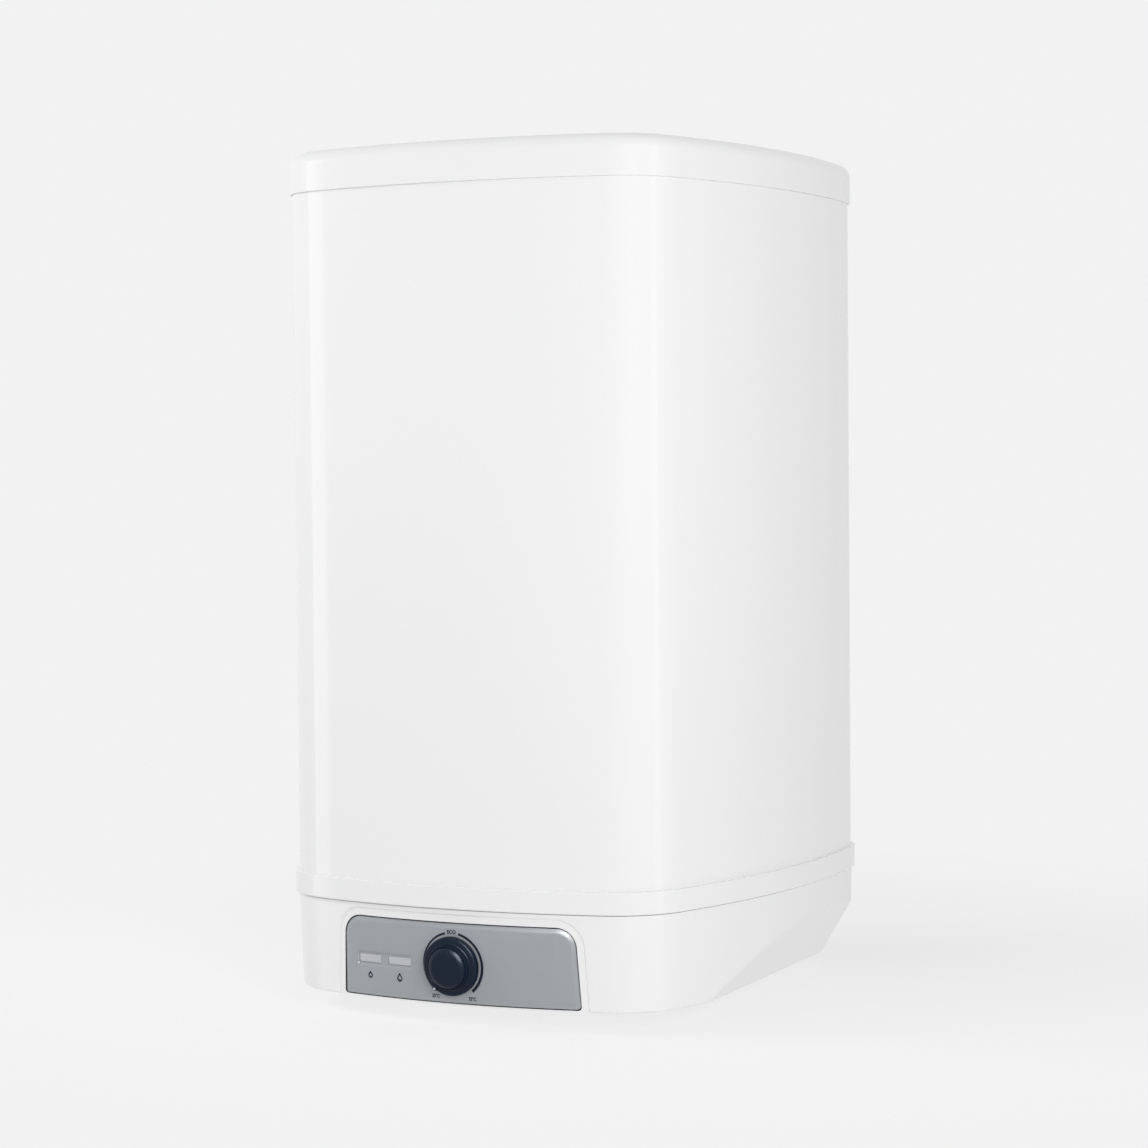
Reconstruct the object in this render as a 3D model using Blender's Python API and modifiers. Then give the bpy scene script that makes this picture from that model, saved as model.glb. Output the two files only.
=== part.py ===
# Wall-hung electric water heater of the square 65 litre class, as an assembly of separate pieces.
# Metres, +Z up, front towards -Y. The origin is the centre of the wall bracket's back face.
import math

import bmesh
import bpy
from mathutils import Matrix, Vector

# Body as seen from outside
body_width = 0.460
body_depth = 0.458
wall_gap = 0.010
bracket_below_top = 0.185
cap_height = 0.0375
casing_height = 0.6195
band_height = 0.0205
cover_height = 0.0865

# Plan outline: a bowed front and bowed sides joined by round corners, flat at the back
front_bow_radius = 0.570
side_bow_radius = 0.736
widest_behind_centre = 0.068
front_corner_radius = 0.073
rear_corner_radius = 0.0725

# How far each shell stands outside the casing sheet
cap_overhang = 0.0024
band_overhang = 0.0038
cover_overhang = 0.0006

# Clearances and one overrun for every cut
fit_gap = 0.0003
seam_gap = 0.0005
overrun = 0.004
weld_distance = 0.00001

# Shells
casing_wall = 0.0008
cap_wall = 0.0025
cap_ledge = 0.0012
cap_overlap = 0.008
cap_edge_radius = 0.013
cap_inner_edge_radius = 0.011
tray_floor = 0.0025
band_edge_radius = 0.004
cover_wall = 0.0025
cover_edge_radius = 0.003
cover_side_draft = 0.0024
cover_front_draft = 0.0028

# Sloping facets low on both sides of the cover: a plane at each side, rounded off towards the back
facet_out = 0.2156
facet_behind_centre = 0.0132
facet_below_band = 0.0556
facet_normal_shares = (0.855, 0.032, -0.518)
facet_round_before_back = 0.065
facet_round_radius = 0.070

# Control panel
panel_top_width = 0.233
panel_bottom_width = 0.238
panel_below_band = 0.0125
panel_above_bottom = 0.0016
panel_top_corner = 0.018
panel_bottom_corner = 0.003
panel_set_back = 0.0006
panel_thickness = 0.0026
flare_width = 0.0050
flare_depth = 0.0007

# Indicator windows, side by side in one shallow recess
lens_below_band = 0.0511
lens_width = 0.0245
lens_height = 0.0075
lens_corner = 0.0012
lens_centres = (-0.0885, -0.0560)
lens_recess_depth = 0.0008
lens_set_back = 0.0005
lens_recess_margin = 0.0016
lens_recess_above = 0.00225
lens_seat = 0.0018

# Indicator board and its lamps
board_width = 0.066
board_height = 0.020
board_thickness = 0.0016
board_standoff = 0.0068
board_post_radius = 0.0028
board_post_spacing = 0.056
board_pin_radius = 0.0012
board_pin_proud = 0.0010
lamp_radius = 0.0025
lamp_rim = 0.0030
lamp_rim_height = 0.0010

# Knob
knob_below_band = 0.0508
knob_skirt_radius = 0.0265
knob_skirt_height = 0.0062
knob_grip_radius = 0.0198
knob_face_radius = 0.0157
knob_height = 0.0138
knob_lift = 0.0007
knob_wall = 0.0024
knob_hub_radius = 0.0060
knob_socket_depth = 0.0085
knob_groove_radius = 0.0208
knob_groove_depth = 0.0012
pointer_width = 0.0048
pointer_height = 0.0022
knob_start_angle = math.radians(-140.0)

# Thermostat behind the knob
shaft_radius = 0.0030
shaft_flat = 0.0021
thermostat_width = 0.030
thermostat_height = 0.032
thermostat_depth = 0.022
thermostat_edge = 0.0015
shaft_socket_depth = 0.0060
carrier_width = 0.050
carrier_height = 0.026
carrier_thickness = 0.0015
carrier_screw_out = 0.019
carrier_screw_radius = 0.0018
carrier_head_radius = 0.0032
carrier_head_height = 0.0020
tab_width = 0.0063
tab_length = 0.0080
tab_thickness = 0.0008
tab_out = 0.0080

# Tank, as wide as the body allows with the least foam round it
least_foam = 0.0365
tank_wall = 0.0020
tank_height = 0.620
tank_above_tray = 0.0195
dome_height = 0.060
neck_radius = 0.046

# Flange at the tank's neck
flange_radius = 0.064
ring_top_below_tray = 0.004
ring_thickness = 0.008
gasket_inner_radius = 0.038
gasket_outer_radius = 0.049
gasket_thickness = 0.0030
plate_thickness = 0.006
flange_bolt_circle = 0.055
flange_bolt_radius = 0.0040
flange_bolt_count = 5
flange_bolt_tip = 0.0035
hex_head_radius = 0.0075
hex_head_height = 0.0053
hex_nut_height = 0.0060
tray_hole_radius = 0.068
foam_well_radius = 0.066
foam_well_height = 0.0095

# Heating element, thermostat pocket and anode, all carried by the flange plate
element_radius = 0.00425
element_spread = 0.016
element_height = 0.330
element_below_plate = 0.014
terminal_radius = 0.0020
terminal_length = 0.010
bush_radius = 0.0062
bush_height = 0.0040
pocket_radius = 0.00475
pocket_bore = 0.0036
pocket_height = 0.250
pocket_back = 0.022
pocket_collar_radius = 0.0068
pocket_collar_height = 0.0030
bulb_radius = 0.0032
bulb_length = 0.090
bulb_inset = 0.012
anode_radius = 0.0105
anode_length = 0.240
anode_front = 0.024
anode_bolt_radius = 0.0040
anode_bolt_depth = 0.030

# Safety cut-out with its reset button
cutout_out = 0.035
cutout_radius = 0.0105
cutout_height = 0.0170
cutout_stud_radius = 0.0020
cutout_stud_length = 0.0040
cutout_waist_radius = 0.0088
cutout_waist_height = 0.0050
button_radius = 0.0026
button_proud = 0.0045
button_travel = 0.0020
button_in_body = 0.0050

# Earth screw on the flange plate
earth_right = 0.020
earth_front = 0.034
earth_screw_radius = 0.0020
earth_screw_depth = 0.0040
earth_head_radius = 0.0040
earth_head_height = 0.0040

# Terminal block under the tray
block_right = 0.105
block_front = 0.060
block_width = 0.046
block_length = 0.044
block_height = 0.018
block_edge = 0.0010
block_pitch = 0.012
block_screw_radius = 0.0024
block_screw_depth = 0.0045
block_entry_radius = 0.0022
block_entry_depth = 0.0120

# Pipes
pipe_spacing = 0.100
pipe_back = 0.095
pipe_radius = 0.01048
pipe_bore = 0.0075
pipe_into_tank = 0.022
pipe_below_cover = 0.018
riser_radius = 0.0072
riser_bore = 0.0058
riser_below_tray = 0.010
riser_under_dome = 0.045
diffuser_sleeve_radius = 0.0072
diffuser_bore = 0.0055
diffuser_head_radius = 0.0130
diffuser_head_height = 0.0160
diffuser_sleeve_length = 0.014
diffuser_window = 0.0060
diffuser_roof = 0.0025
collar_flange_radius = 0.0180
collar_sleeve_radius = 0.0135
collar_flange_height = 0.0030
collar_sleeve_height = 0.0060

# Cable gland without a cable
gland_right = 0.095
gland_back = 0.105
gland_thread_radius = 0.0100
gland_body_radius = 0.0130
gland_bore = 0.0050
gland_body_height = 0.0100
gland_dome_height = 0.0060
gland_dome_radius = 0.0095
gland_nut_radius = 0.0145
gland_nut_height = 0.0045

# Cover screws and the tray pillars that take them
pillar_right = 0.150
pillar_front = 0.060
pillar_radius = 0.0060
cover_screw_radius = 0.0020
cover_screw_length = 0.016
cover_screw_head = 0.0042
cover_screw_head_height = 0.0024

# Wall bracket, its channels on the tank, and the lower spacer
bracket_plate = 0.0025
bracket_web_width = 0.130
bracket_foot_width = 0.060
bracket_height = 0.060
hook_slot_spacing = 0.080
hook_slot_width = 0.014
hook_slot_height = 0.026
bracket_bolt_radius = 0.0040
bracket_bolt_tip = 0.0025
channel_width = 0.048
channel_height = 0.070
spacer_above_band = 0.072
spacer_web_width = 0.090
spacer_foot_width = 0.034
spacer_height = 0.040
spacer_peg_radius = 0.0035
spacer_peg_length = 0.016
spacer_hole_spacing = 0.050
spacer_hole_radius = 0.0035

# Wires and the thermostat's capillary
wire_radius = 0.0015
capillary_radius = 0.0009
lamp_lead_radius = 0.0012
wire_bow_share = 0.40
wire_drop = 0.016

# Facets of the curves
front_steps = 7
corner_steps = 6
side_steps = 3
rear_steps = 4
fine_turn = 24
round_turn = 20
middle_turn = 16
small_turn = 12
wire_points = 11
dome_steps = 5
bend_steps = 8
round_steps = 4
plain_steps = 2

# Heights that follow from the driving dimensions
top_z = bracket_below_top
cap_z = top_z - cap_height
casing_z = cap_z - casing_height
band_z = casing_z - band_height
cover_z = band_z - cover_height
tray_z = band_z + tray_floor
back_y = -wall_gap
front_y = back_y - body_depth
centre_y = (front_y + back_y) / 2
widest_y = centre_y + widest_behind_centre
tank_radius = min(body_width, body_depth) / 2 - least_foam
tank_bottom_z = tray_z + tank_above_tray
tank_top_z = tank_bottom_z + tank_height
ring_top_z = band_z - ring_top_below_tray
ring_low_z = ring_top_z - ring_thickness
gasket_top_z = ring_low_z - fit_gap
gasket_low_z = gasket_top_z - gasket_thickness
plate_top_z = gasket_low_z - fit_gap
plate_low_z = plate_top_z - plate_thickness
pocket_depth = panel_set_back + panel_thickness + fit_gap
knob_z = band_z - knob_below_band
lens_z = band_z - lens_below_band
cover_floor_z = cover_z + cover_wall
spacer_z = casing_z + spacer_above_band
foot_y = back_y + fit_gap + bracket_plate
channel_y = back_y - casing_wall - fit_gap
bracket_bolt_x = (bracket_web_width + bracket_foot_width) / 2


# Scene, collections and materials

def clear_scene():
    for old in list(bpy.data.objects):
        bpy.data.objects.remove(old, do_unlink=True)


def new_collection(name):
    collection = bpy.data.collections.new(name)
    bpy.context.scene.collection.children.link(collection)
    return collection


def material(name, colour, roughness, metallic=0.0):
    mat = bpy.data.materials.new(name)
    mat.use_nodes = True
    shader = mat.node_tree.nodes["Principled BSDF"]
    shader.inputs["Base Color"].default_value = (*colour, 1.0)
    shader.inputs["Roughness"].default_value = roughness
    shader.inputs["Metallic"].default_value = metallic
    mat.diffuse_color = (*colour, 1.0)
    return mat


clear_scene()
heater = new_collection("electric_water_heater")
cutters = new_collection("cutters")

white_enamel = material("white_enamel", (0.86, 0.86, 0.86), 0.22)
white_plastic = material("white_plastic", (0.84, 0.84, 0.84), 0.32)
grey_panel = material("grey_panel", (0.33, 0.35, 0.36), 0.38)
dark_blue_plastic = material("dark_blue_plastic", (0.016, 0.021, 0.034), 0.35)
clear_lens = material("clear_lens", (0.50, 0.50, 0.52), 0.25)
tank_enamel = material("tank_enamel", (0.09, 0.12, 0.19), 0.30)
foam_material = material("foam", (0.80, 0.71, 0.45), 0.90)
plain_steel = material("plain_steel", (0.45, 0.45, 0.46), 0.40, 1.0)
zinc_steel = material("zinc_steel", (0.58, 0.58, 0.57), 0.35, 1.0)
copper = material("copper", (0.70, 0.34, 0.22), 0.30, 1.0)
brass = material("brass", (0.72, 0.55, 0.25), 0.30, 1.0)
magnesium = material("magnesium", (0.50, 0.50, 0.51), 0.55, 1.0)
black_rubber = material("black_rubber", (0.02, 0.02, 0.02), 0.80)
black_plastic = material("black_plastic", (0.03, 0.03, 0.03), 0.45)
cream_plastic = material("cream_plastic", (0.70, 0.66, 0.55), 0.45)
grey_plastic = material("grey_plastic", (0.35, 0.35, 0.36), 0.45)
red_plastic = material("red_plastic", (0.55, 0.03, 0.02), 0.40)
blue_plastic = material("blue_plastic", (0.02, 0.10, 0.45), 0.40)
board_green = material("board_green", (0.03, 0.18, 0.07), 0.45)
brown_wire = material("brown_wire", (0.16, 0.06, 0.03), 0.50)
blue_wire = material("blue_wire", (0.02, 0.08, 0.38), 0.50)
earth_wire = material("earth_wire", (0.42, 0.50, 0.04), 0.50)


# Building blocks. Each starts as a cutter; piece() makes it one of the heater's own parts.

def new_object(name, mesh, parent=None, location=(0, 0, 0), rotation=(0, 0, 0)):
    thing = bpy.data.objects.new(name, mesh)
    thing.parent = parent
    thing.location = location
    thing.rotation_euler = rotation
    thing.hide_render = True
    thing.display_type = "WIRE"
    cutters.objects.link(thing)
    return thing


def piece(name, thing, mat):
    cutters.objects.unlink(thing)
    heater.objects.link(thing)
    thing.name = name
    thing.data.name = name
    thing.hide_render = False
    thing.display_type = "TEXTURED"
    thing.data.materials.clear()
    thing.data.materials.append(mat)
    thing.data.shade_smooth()
    thing.data.set_sharp_from_angle(angle=math.radians(30))
    return thing


def boolean(thing, other, operation):
    mod = thing.modifiers.new(operation.lower(), "BOOLEAN")
    mod.operation = operation
    mod.solver = "EXACT"
    mod.object = other
    return thing


def cut(thing, *others):
    for other in others:
        boolean(thing, other, "DIFFERENCE")
    return thing


def fuse(thing, *others):
    for other in others:
        boolean(thing, other, "UNION")
    return thing


def finish_mesh(name, bm):
    bmesh.ops.recalc_face_normals(bm, faces=bm.faces)
    mesh = bpy.data.meshes.new(name)
    bm.to_mesh(mesh)
    bm.free()
    return mesh


def box(name, size, centre, parent=None, rotation=(0, 0, 0), edge=0.0):
    bm = bmesh.new()
    bmesh.ops.create_cube(bm, size=1.0)
    bmesh.ops.scale(bm, vec=size, verts=bm.verts)
    if edge:
        bmesh.ops.bevel(bm, geom=bm.edges[:], offset=edge, segments=1, profile=0.5,
                        affect="EDGES", material=-1)
    return new_object(name, finish_mesh(name, bm), parent, centre, rotation)


def turned(name, profile, steps, place=(0, 0, 0), parent=None, rotation=(0, 0, 0), closed=False):
    """Radius and height pairs down the outer side, turned about the vertical axis."""
    bm = bmesh.new()
    points = [bm.verts.new((radius, 0, height)) for radius, height in profile]
    for first, second in zip(points, points[1:]):
        bm.edges.new((first, second))
    if closed:
        bm.edges.new((points[-1], points[0]))
    mesh = bpy.data.meshes.new(name)
    bm.to_mesh(mesh)
    bm.free()
    thing = new_object(name, mesh, parent, place, rotation)
    mod = thing.modifiers.new("turn", "SCREW")
    mod.axis = "Z"
    mod.angle = math.tau
    mod.steps = steps
    mod.render_steps = steps
    mod.use_merge_vertices = True
    mod.merge_threshold = weld_distance
    return thing


def rod(name, radius, low, high, place, steps=small_turn, parent=None, rotation=(0, 0, 0)):
    bm = bmesh.new()
    bmesh.ops.create_cone(bm, cap_ends=True, segments=steps, radius1=radius, radius2=radius,
                          depth=high - low, matrix=Matrix.Translation((0, 0, (low + high) / 2)))
    return new_object(name, finish_mesh(name, bm), parent, place, rotation)


def tube(name, radius, bore, low, high, place, steps=round_turn, parent=None, rotation=(0, 0, 0)):
    profile = [(radius, high), (radius, low), (bore, low), (bore, high)]
    return turned(name, profile, steps, place, parent, rotation, closed=True)


def baked(thing):
    """The shape of an object with its modifiers, in world space."""
    bpy.context.view_layer.update()
    shape = thing.evaluated_get(bpy.context.evaluated_depsgraph_get())
    mesh = bpy.data.meshes.new_from_object(shape)
    mesh.transform(thing.matrix_world)
    return mesh


def round_screw(name, radius, head_radius, head_low, head_high, tip, place,
                steps=small_turn, parent=None, rotation=(0, 0, 0)):
    """A screw with a round head, its shank running from the head to the tip."""
    profile = [(0, tip), (radius, tip), (radius, head_high), (head_radius, head_high),
               (head_radius, head_low), (0, head_low)]
    return turned(name, profile, steps, place, parent, rotation)


def hex_bolt(name, radius, head_low, tip, place, rotation=(0, 0, 0)):
    """A bolt with a hexagon head at the low end of its shank."""
    bolt = rod(name, radius, head_low + hex_head_height / 2, tip, place, rotation=rotation)
    return fuse(bolt, rod(name + "_head", hex_head_radius, head_low, head_low + hex_head_height, place, 6,
                          rotation=rotation))


def prism(name, outline, low, high, top_radius=0.0, low_radius=0.0, edge_steps=3, lean=0.0):
    """A flat plan outline drawn up, leaning sideways if asked, its top or bottom edge rounded."""
    bm = bmesh.new()
    base = bm.faces.new([bm.verts.new((x, y, low)) for x, y in outline])
    grown = bmesh.ops.extrude_face_region(bm, geom=[base])
    raised = [item for item in grown["geom"] if isinstance(item, bmesh.types.BMVert)]
    bmesh.ops.translate(bm, verts=raised, vec=(lean, 0, high - low))
    for level, radius in ((high, top_radius), (low, low_radius)):
        if radius:
            rim = [e for e in bm.edges if all(abs(v.co.z - level) < fit_gap / 10 for v in e.verts)]
            bmesh.ops.bevel(bm, geom=rim, offset=radius, segments=edge_steps, profile=0.5,
                            affect="EDGES", material=-1)
    return new_object(name, finish_mesh(name, bm))


def standing_prism(name, outline, front, back):
    """An outline in X and Z drawn backwards along Y."""
    bm = bmesh.new()
    base = bm.faces.new([bm.verts.new((x, front, z)) for x, z in outline])
    grown = bmesh.ops.extrude_face_region(bm, geom=[base])
    moved = [item for item in grown["geom"] if isinstance(item, bmesh.types.BMVert)]
    bmesh.ops.translate(bm, verts=moved, vec=(0, back - front, 0))
    return new_object(name, finish_mesh(name, bm))


def wire(name, start, start_way, end, end_way, radius, start_lead, end_lead, end_bow=0.0):
    """A round wire on one smooth curve between two terminals, with straight ends."""
    start, end = Vector(start), Vector(end)
    leave = start + Vector(start_way) * start_lead
    arrive = end - Vector(end_way) * end_lead
    bow = (arrive - leave).length * wire_bow_share
    p1 = leave + Vector(start_way) * bow
    p2 = arrive - Vector(end_way) * (end_bow or bow)
    route = [start]
    for step in range(wire_points + 1):
        t = step / wire_points
        s = 1 - t
        route.append(leave * s ** 3 + p1 * (3 * s * s * t) + p2 * (3 * s * t * t) + arrive * t ** 3)
    route.append(end)
    return tube_along(name, route, radius)


def tube_along(name, route, radius):
    curve = bpy.data.curves.new(name, "CURVE")
    curve.dimensions = "3D"
    curve.bevel_depth = radius
    curve.bevel_resolution = 2
    curve.use_fill_caps = True
    spline = curve.splines.new("POLY")
    spline.points.add(len(route) - 1)
    for point, place in zip(spline.points, route):
        point.co = (*place, 1.0)
    guide = new_object(name + "_route", curve)
    mesh = baked(guide)
    bpy.data.objects.remove(guide, do_unlink=True)
    bm = bmesh.new()
    bm.from_mesh(mesh)
    bmesh.ops.remove_doubles(bm, verts=bm.verts, dist=weld_distance)
    return new_object(name, finish_mesh(name, bm))


# Outlines

def arc(centre, radius, start, end, steps):
    turn = (end - start) / steps
    return [(centre[0] + radius * math.cos(start + turn * i),
             centre[1] + radius * math.sin(start + turn * i)) for i in range(steps + 1)]


def bearing(centre, point):
    return math.atan2(point[1] - centre[1], point[0] - centre[0])


def circle_meeting(first, first_radius, second, second_radius):
    """Where two circles cross, on the front right."""
    gap = Vector((second[0] - first[0], second[1] - first[1]))
    reach = gap.length
    along = (first_radius ** 2 - second_radius ** 2 + reach ** 2) / (2 * reach)
    rise = math.sqrt(first_radius ** 2 - along ** 2)
    unit = gap / reach
    middle = Vector(first) + unit * along
    side = Vector((-unit.y, unit.x)) * rise
    return min(middle + side, middle - side, key=lambda point: point.y)


def body_outline(offset):
    """The heater's plan, larger than the casing by the offset, as one loop."""
    front = (0.0, front_y + front_bow_radius)
    side = (body_width / 2 - side_bow_radius, widest_y)
    corner = circle_meeting(front, front_bow_radius - front_corner_radius,
                            side, side_bow_radius - front_corner_radius)
    rear_y = back_y - rear_corner_radius
    rear_reach = side_bow_radius - rear_corner_radius
    rear = (side[0] + math.sqrt(rear_reach ** 2 - (rear_y - widest_y) ** 2), rear_y)
    front_turn, side_turn = bearing(front, corner), bearing(side, corner)
    rear_turn = bearing(side, rear)
    right = arc(front, front_bow_radius + offset, -math.pi / 2, front_turn, front_steps)
    right += arc(corner, front_corner_radius + offset, front_turn, side_turn, corner_steps)[1:]
    right += arc(side, side_bow_radius + offset, side_turn, 0.0, side_steps)[1:]
    right += arc(side, side_bow_radius + offset, 0.0, rear_turn, side_steps)[1:]
    right += arc(rear, rear_corner_radius + offset, rear_turn, math.pi / 2, rear_steps)[1:]
    left = [(-x, y) for x, y in reversed(right[1:])]
    return right + left


def drafted_outline(inset, level):
    """The lower cover's plan at a height, drawn in towards the bottom."""
    share = (band_z - level) / cover_height
    loop = body_outline(cover_overhang - inset - cover_side_draft * share)
    squeeze = 1 - cover_front_draft * share / body_depth
    return [(x, back_y - (back_y - y) * squeeze) for x, y in loop]


def front_face_y(inset, level):
    return min(y for x, y in drafted_outline(inset, level))


def rounded_plate(top_width, bottom_width, low, high, low_corner, top_corner, centre=0.0):
    """An upright plate outline in X and Z with round corners."""
    steps = round_steps if top_corner > low_corner else plain_steps
    half_low, half_top = bottom_width / 2, top_width / 2
    right = arc((half_low - low_corner, low + low_corner), low_corner, -math.pi / 2, 0.0, steps)
    right += arc((half_top - top_corner, high - top_corner), top_corner, 0.0, math.pi / 2, steps)
    left = [(-x, z) for x, z in reversed(right)]
    return [(centre + x, z) for x, z in right + left]


# Shells

def cover_block(name, inset, low, high, edge=0.0):
    """The filled lower cover between two heights, drawn in by the inset."""
    bm = bmesh.new()
    rims = []
    for level in (low, high):
        ring = [bm.verts.new((x, y, level)) for x, y in drafted_outline(inset, level)]
        bm.faces.new(ring)
        rims += [bm.edges.get((ring[i - 1], ring[i])) for i in range(len(ring))]
    bmesh.ops.bridge_loops(bm, edges=rims)
    if edge:
        rim = [e for e in bm.edges if all(abs(v.co.z - low) < fit_gap / 10 for v in e.verts)]
        bmesh.ops.bevel(bm, geom=rim, offset=edge, segments=plain_steps, profile=0.5,
                        affect="EDGES", material=-1)
    return new_object(name, finish_mesh(name, bm))


def facet_cutters(inset):
    """Leaning blocks that take off everything outside the facet and its rear round on each side."""
    across, back, up = facet_normal_shares
    low, high = cover_z - overrun, band_z + overrun
    turn = math.atan2(back, across)
    lean = -up / across
    spot_y = centre_y + facet_behind_centre
    round_y = back_y - facet_round_before_back
    round_x = facet_out - lean * (band_z - facet_below_band - low) - back / across * (round_y - spot_y)
    centre = (round_x - facet_round_radius * math.cos(turn), round_y - facet_round_radius * math.sin(turn))
    loop = arc(centre, facet_round_radius - inset / across, turn, math.pi / 2, corner_steps)
    front = (loop[0][0] + body_depth * math.sin(turn), loop[0][1] - body_depth * math.cos(turn))
    rear_y = loop[-1][1] + overrun
    loop = [front] + loop + [(loop[-1][0], rear_y), (body_width, rear_y), (body_width, front[1])]
    return [prism("facet", [(x * side, y) for x, y in loop], low, high, lean=lean * (high - low) * side)
            for side in (1, -1)]


def panel_outline(grow):
    return rounded_plate(panel_top_width + 2 * grow, panel_bottom_width + 2 * grow,
                         cover_z + panel_above_bottom - grow, band_z - panel_below_band + grow,
                         panel_bottom_corner + grow, panel_top_corner + grow)


def lens_outline(centre, grow):
    return rounded_plate(lens_width + 2 * grow, lens_width + 2 * grow,
                         lens_z - lens_height / 2 - grow, lens_z + lens_height / 2 + grow,
                         lens_corner + max(grow, 0), lens_corner + max(grow, 0), centre)


def bowed_plate(name, outline, front_inset, back_inset):
    """A plate cut from the cover's bowed front between two depths."""
    plate = standing_prism(name, outline, front_y - overrun, front_y + body_depth / 4)
    low, high = cover_z - overrun, band_z
    boolean(plate, cover_block(name + "_front", front_inset, low, high), "INTERSECT")
    low, high = low - overrun, high + overrun
    cut(plate, cover_block(name + "_back", back_inset, low, high))
    return plate


def outer_casing():
    bm = bmesh.new()
    low, high = tray_z + fit_gap, cap_z + cap_overlap - fit_gap
    points = [bm.verts.new((x, y, low)) for x, y in body_outline(0.0)]
    edges = [bm.edges.new((points[i - 1], points[i])) for i in range(len(points))]
    grown = bmesh.ops.extrude_edge_only(bm, edges=edges)
    raised = [item for item in grown["geom"] if isinstance(item, bmesh.types.BMVert)]
    bmesh.ops.translate(bm, verts=raised, vec=(0, 0, high - low))
    bmesh.ops.recalc_face_normals(bm, faces=bm.faces)
    ribbon = bm.faces[:]
    if sum(face.normal.dot(face.calc_center_median() - Vector((0, centre_y, low))) for face in ribbon) < 0:
        bmesh.ops.reverse_faces(bm, faces=ribbon)
    mesh = bpy.data.meshes.new("casing")
    bm.to_mesh(mesh)
    bm.free()
    casing = new_object("casing", mesh)
    wall = casing.modifiers.new("wall", "SOLIDIFY")
    wall.thickness = casing_wall
    wall.offset = -1.0
    wall.use_even_offset = True
    cut(casing, *rear_holes())
    return piece("outer_casing", casing, white_enamel)


def rear_holes():
    """Holes in the back of the casing for the bracket bolts and the spacer pegs."""
    holes = [rod("bolt_hole", bracket_bolt_radius + fit_gap, -overrun, overrun + casing_wall,
                 (x, back_y, z), rotation=(math.pi / 2, 0, 0)) for x, z in bracket_bolt_places()]
    holes += [rod("peg_hole", spacer_peg_radius + fit_gap, -overrun, overrun + casing_wall,
                  (x, back_y, z), rotation=(math.pi / 2, 0, 0)) for x, z in spacer_peg_places()]
    return holes


def bracket_bolt_places():
    return [(side * bracket_bolt_x, 0.0) for side in (-1, 1)]


def spacer_peg_places():
    reach = (spacer_web_width + spacer_foot_width) / 2
    return [(side * reach, spacer_z) for side in (-1, 1)]


def top_cap():
    cap = prism("cap", body_outline(cap_overhang), cap_z, top_z, top_radius=cap_edge_radius)
    hollow = prism("cap_hollow", body_outline(-cap_ledge), cap_z - overrun, top_z - cap_wall,
                   top_radius=cap_inner_edge_radius)
    rebate = prism("cap_rebate", body_outline(fit_gap), cap_z - overrun, cap_z + cap_overlap)
    cut(cap, hollow, rebate)
    return piece("top_cap", cap, white_plastic)


def pillar_places():
    return [(side * pillar_right, centre_y - pillar_front) for side in (-1, 1)]


def pipe_places():
    y = centre_y + pipe_back
    return {"hot": (-pipe_spacing / 2, y), "cold": (pipe_spacing / 2, y)}


def base_tray():
    tray = prism("tray", body_outline(band_overhang), band_z, casing_z, low_radius=band_edge_radius)
    pillar_low = cover_floor_z + fit_gap
    for x, y in pillar_places():
        pillar = rod("pillar", pillar_radius, pillar_low, band_z + tray_floor / 2, (x, y, 0))
        fuse(tray, pillar)
    cut(tray, prism("tray_well", body_outline(fit_gap), tray_z, casing_z + overrun))
    cut(tray, rod("flange_hole", tray_hole_radius, band_z - overrun, tray_z + overrun,
                  (0, centre_y, 0), fine_turn))
    for x, y in pipe_places().values():
        cut(tray, rod("pipe_hole", pipe_radius + fit_gap, band_z - overrun, tray_z + overrun,
                      (x, y, 0), middle_turn))
    for x, y in pillar_places():
        cut(tray, rod("pillar_hole", cover_screw_radius + fit_gap, pillar_low - overrun,
                      pillar_low + cover_screw_length, (x, y, 0)))
    return piece("base_tray", tray, white_plastic)


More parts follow.
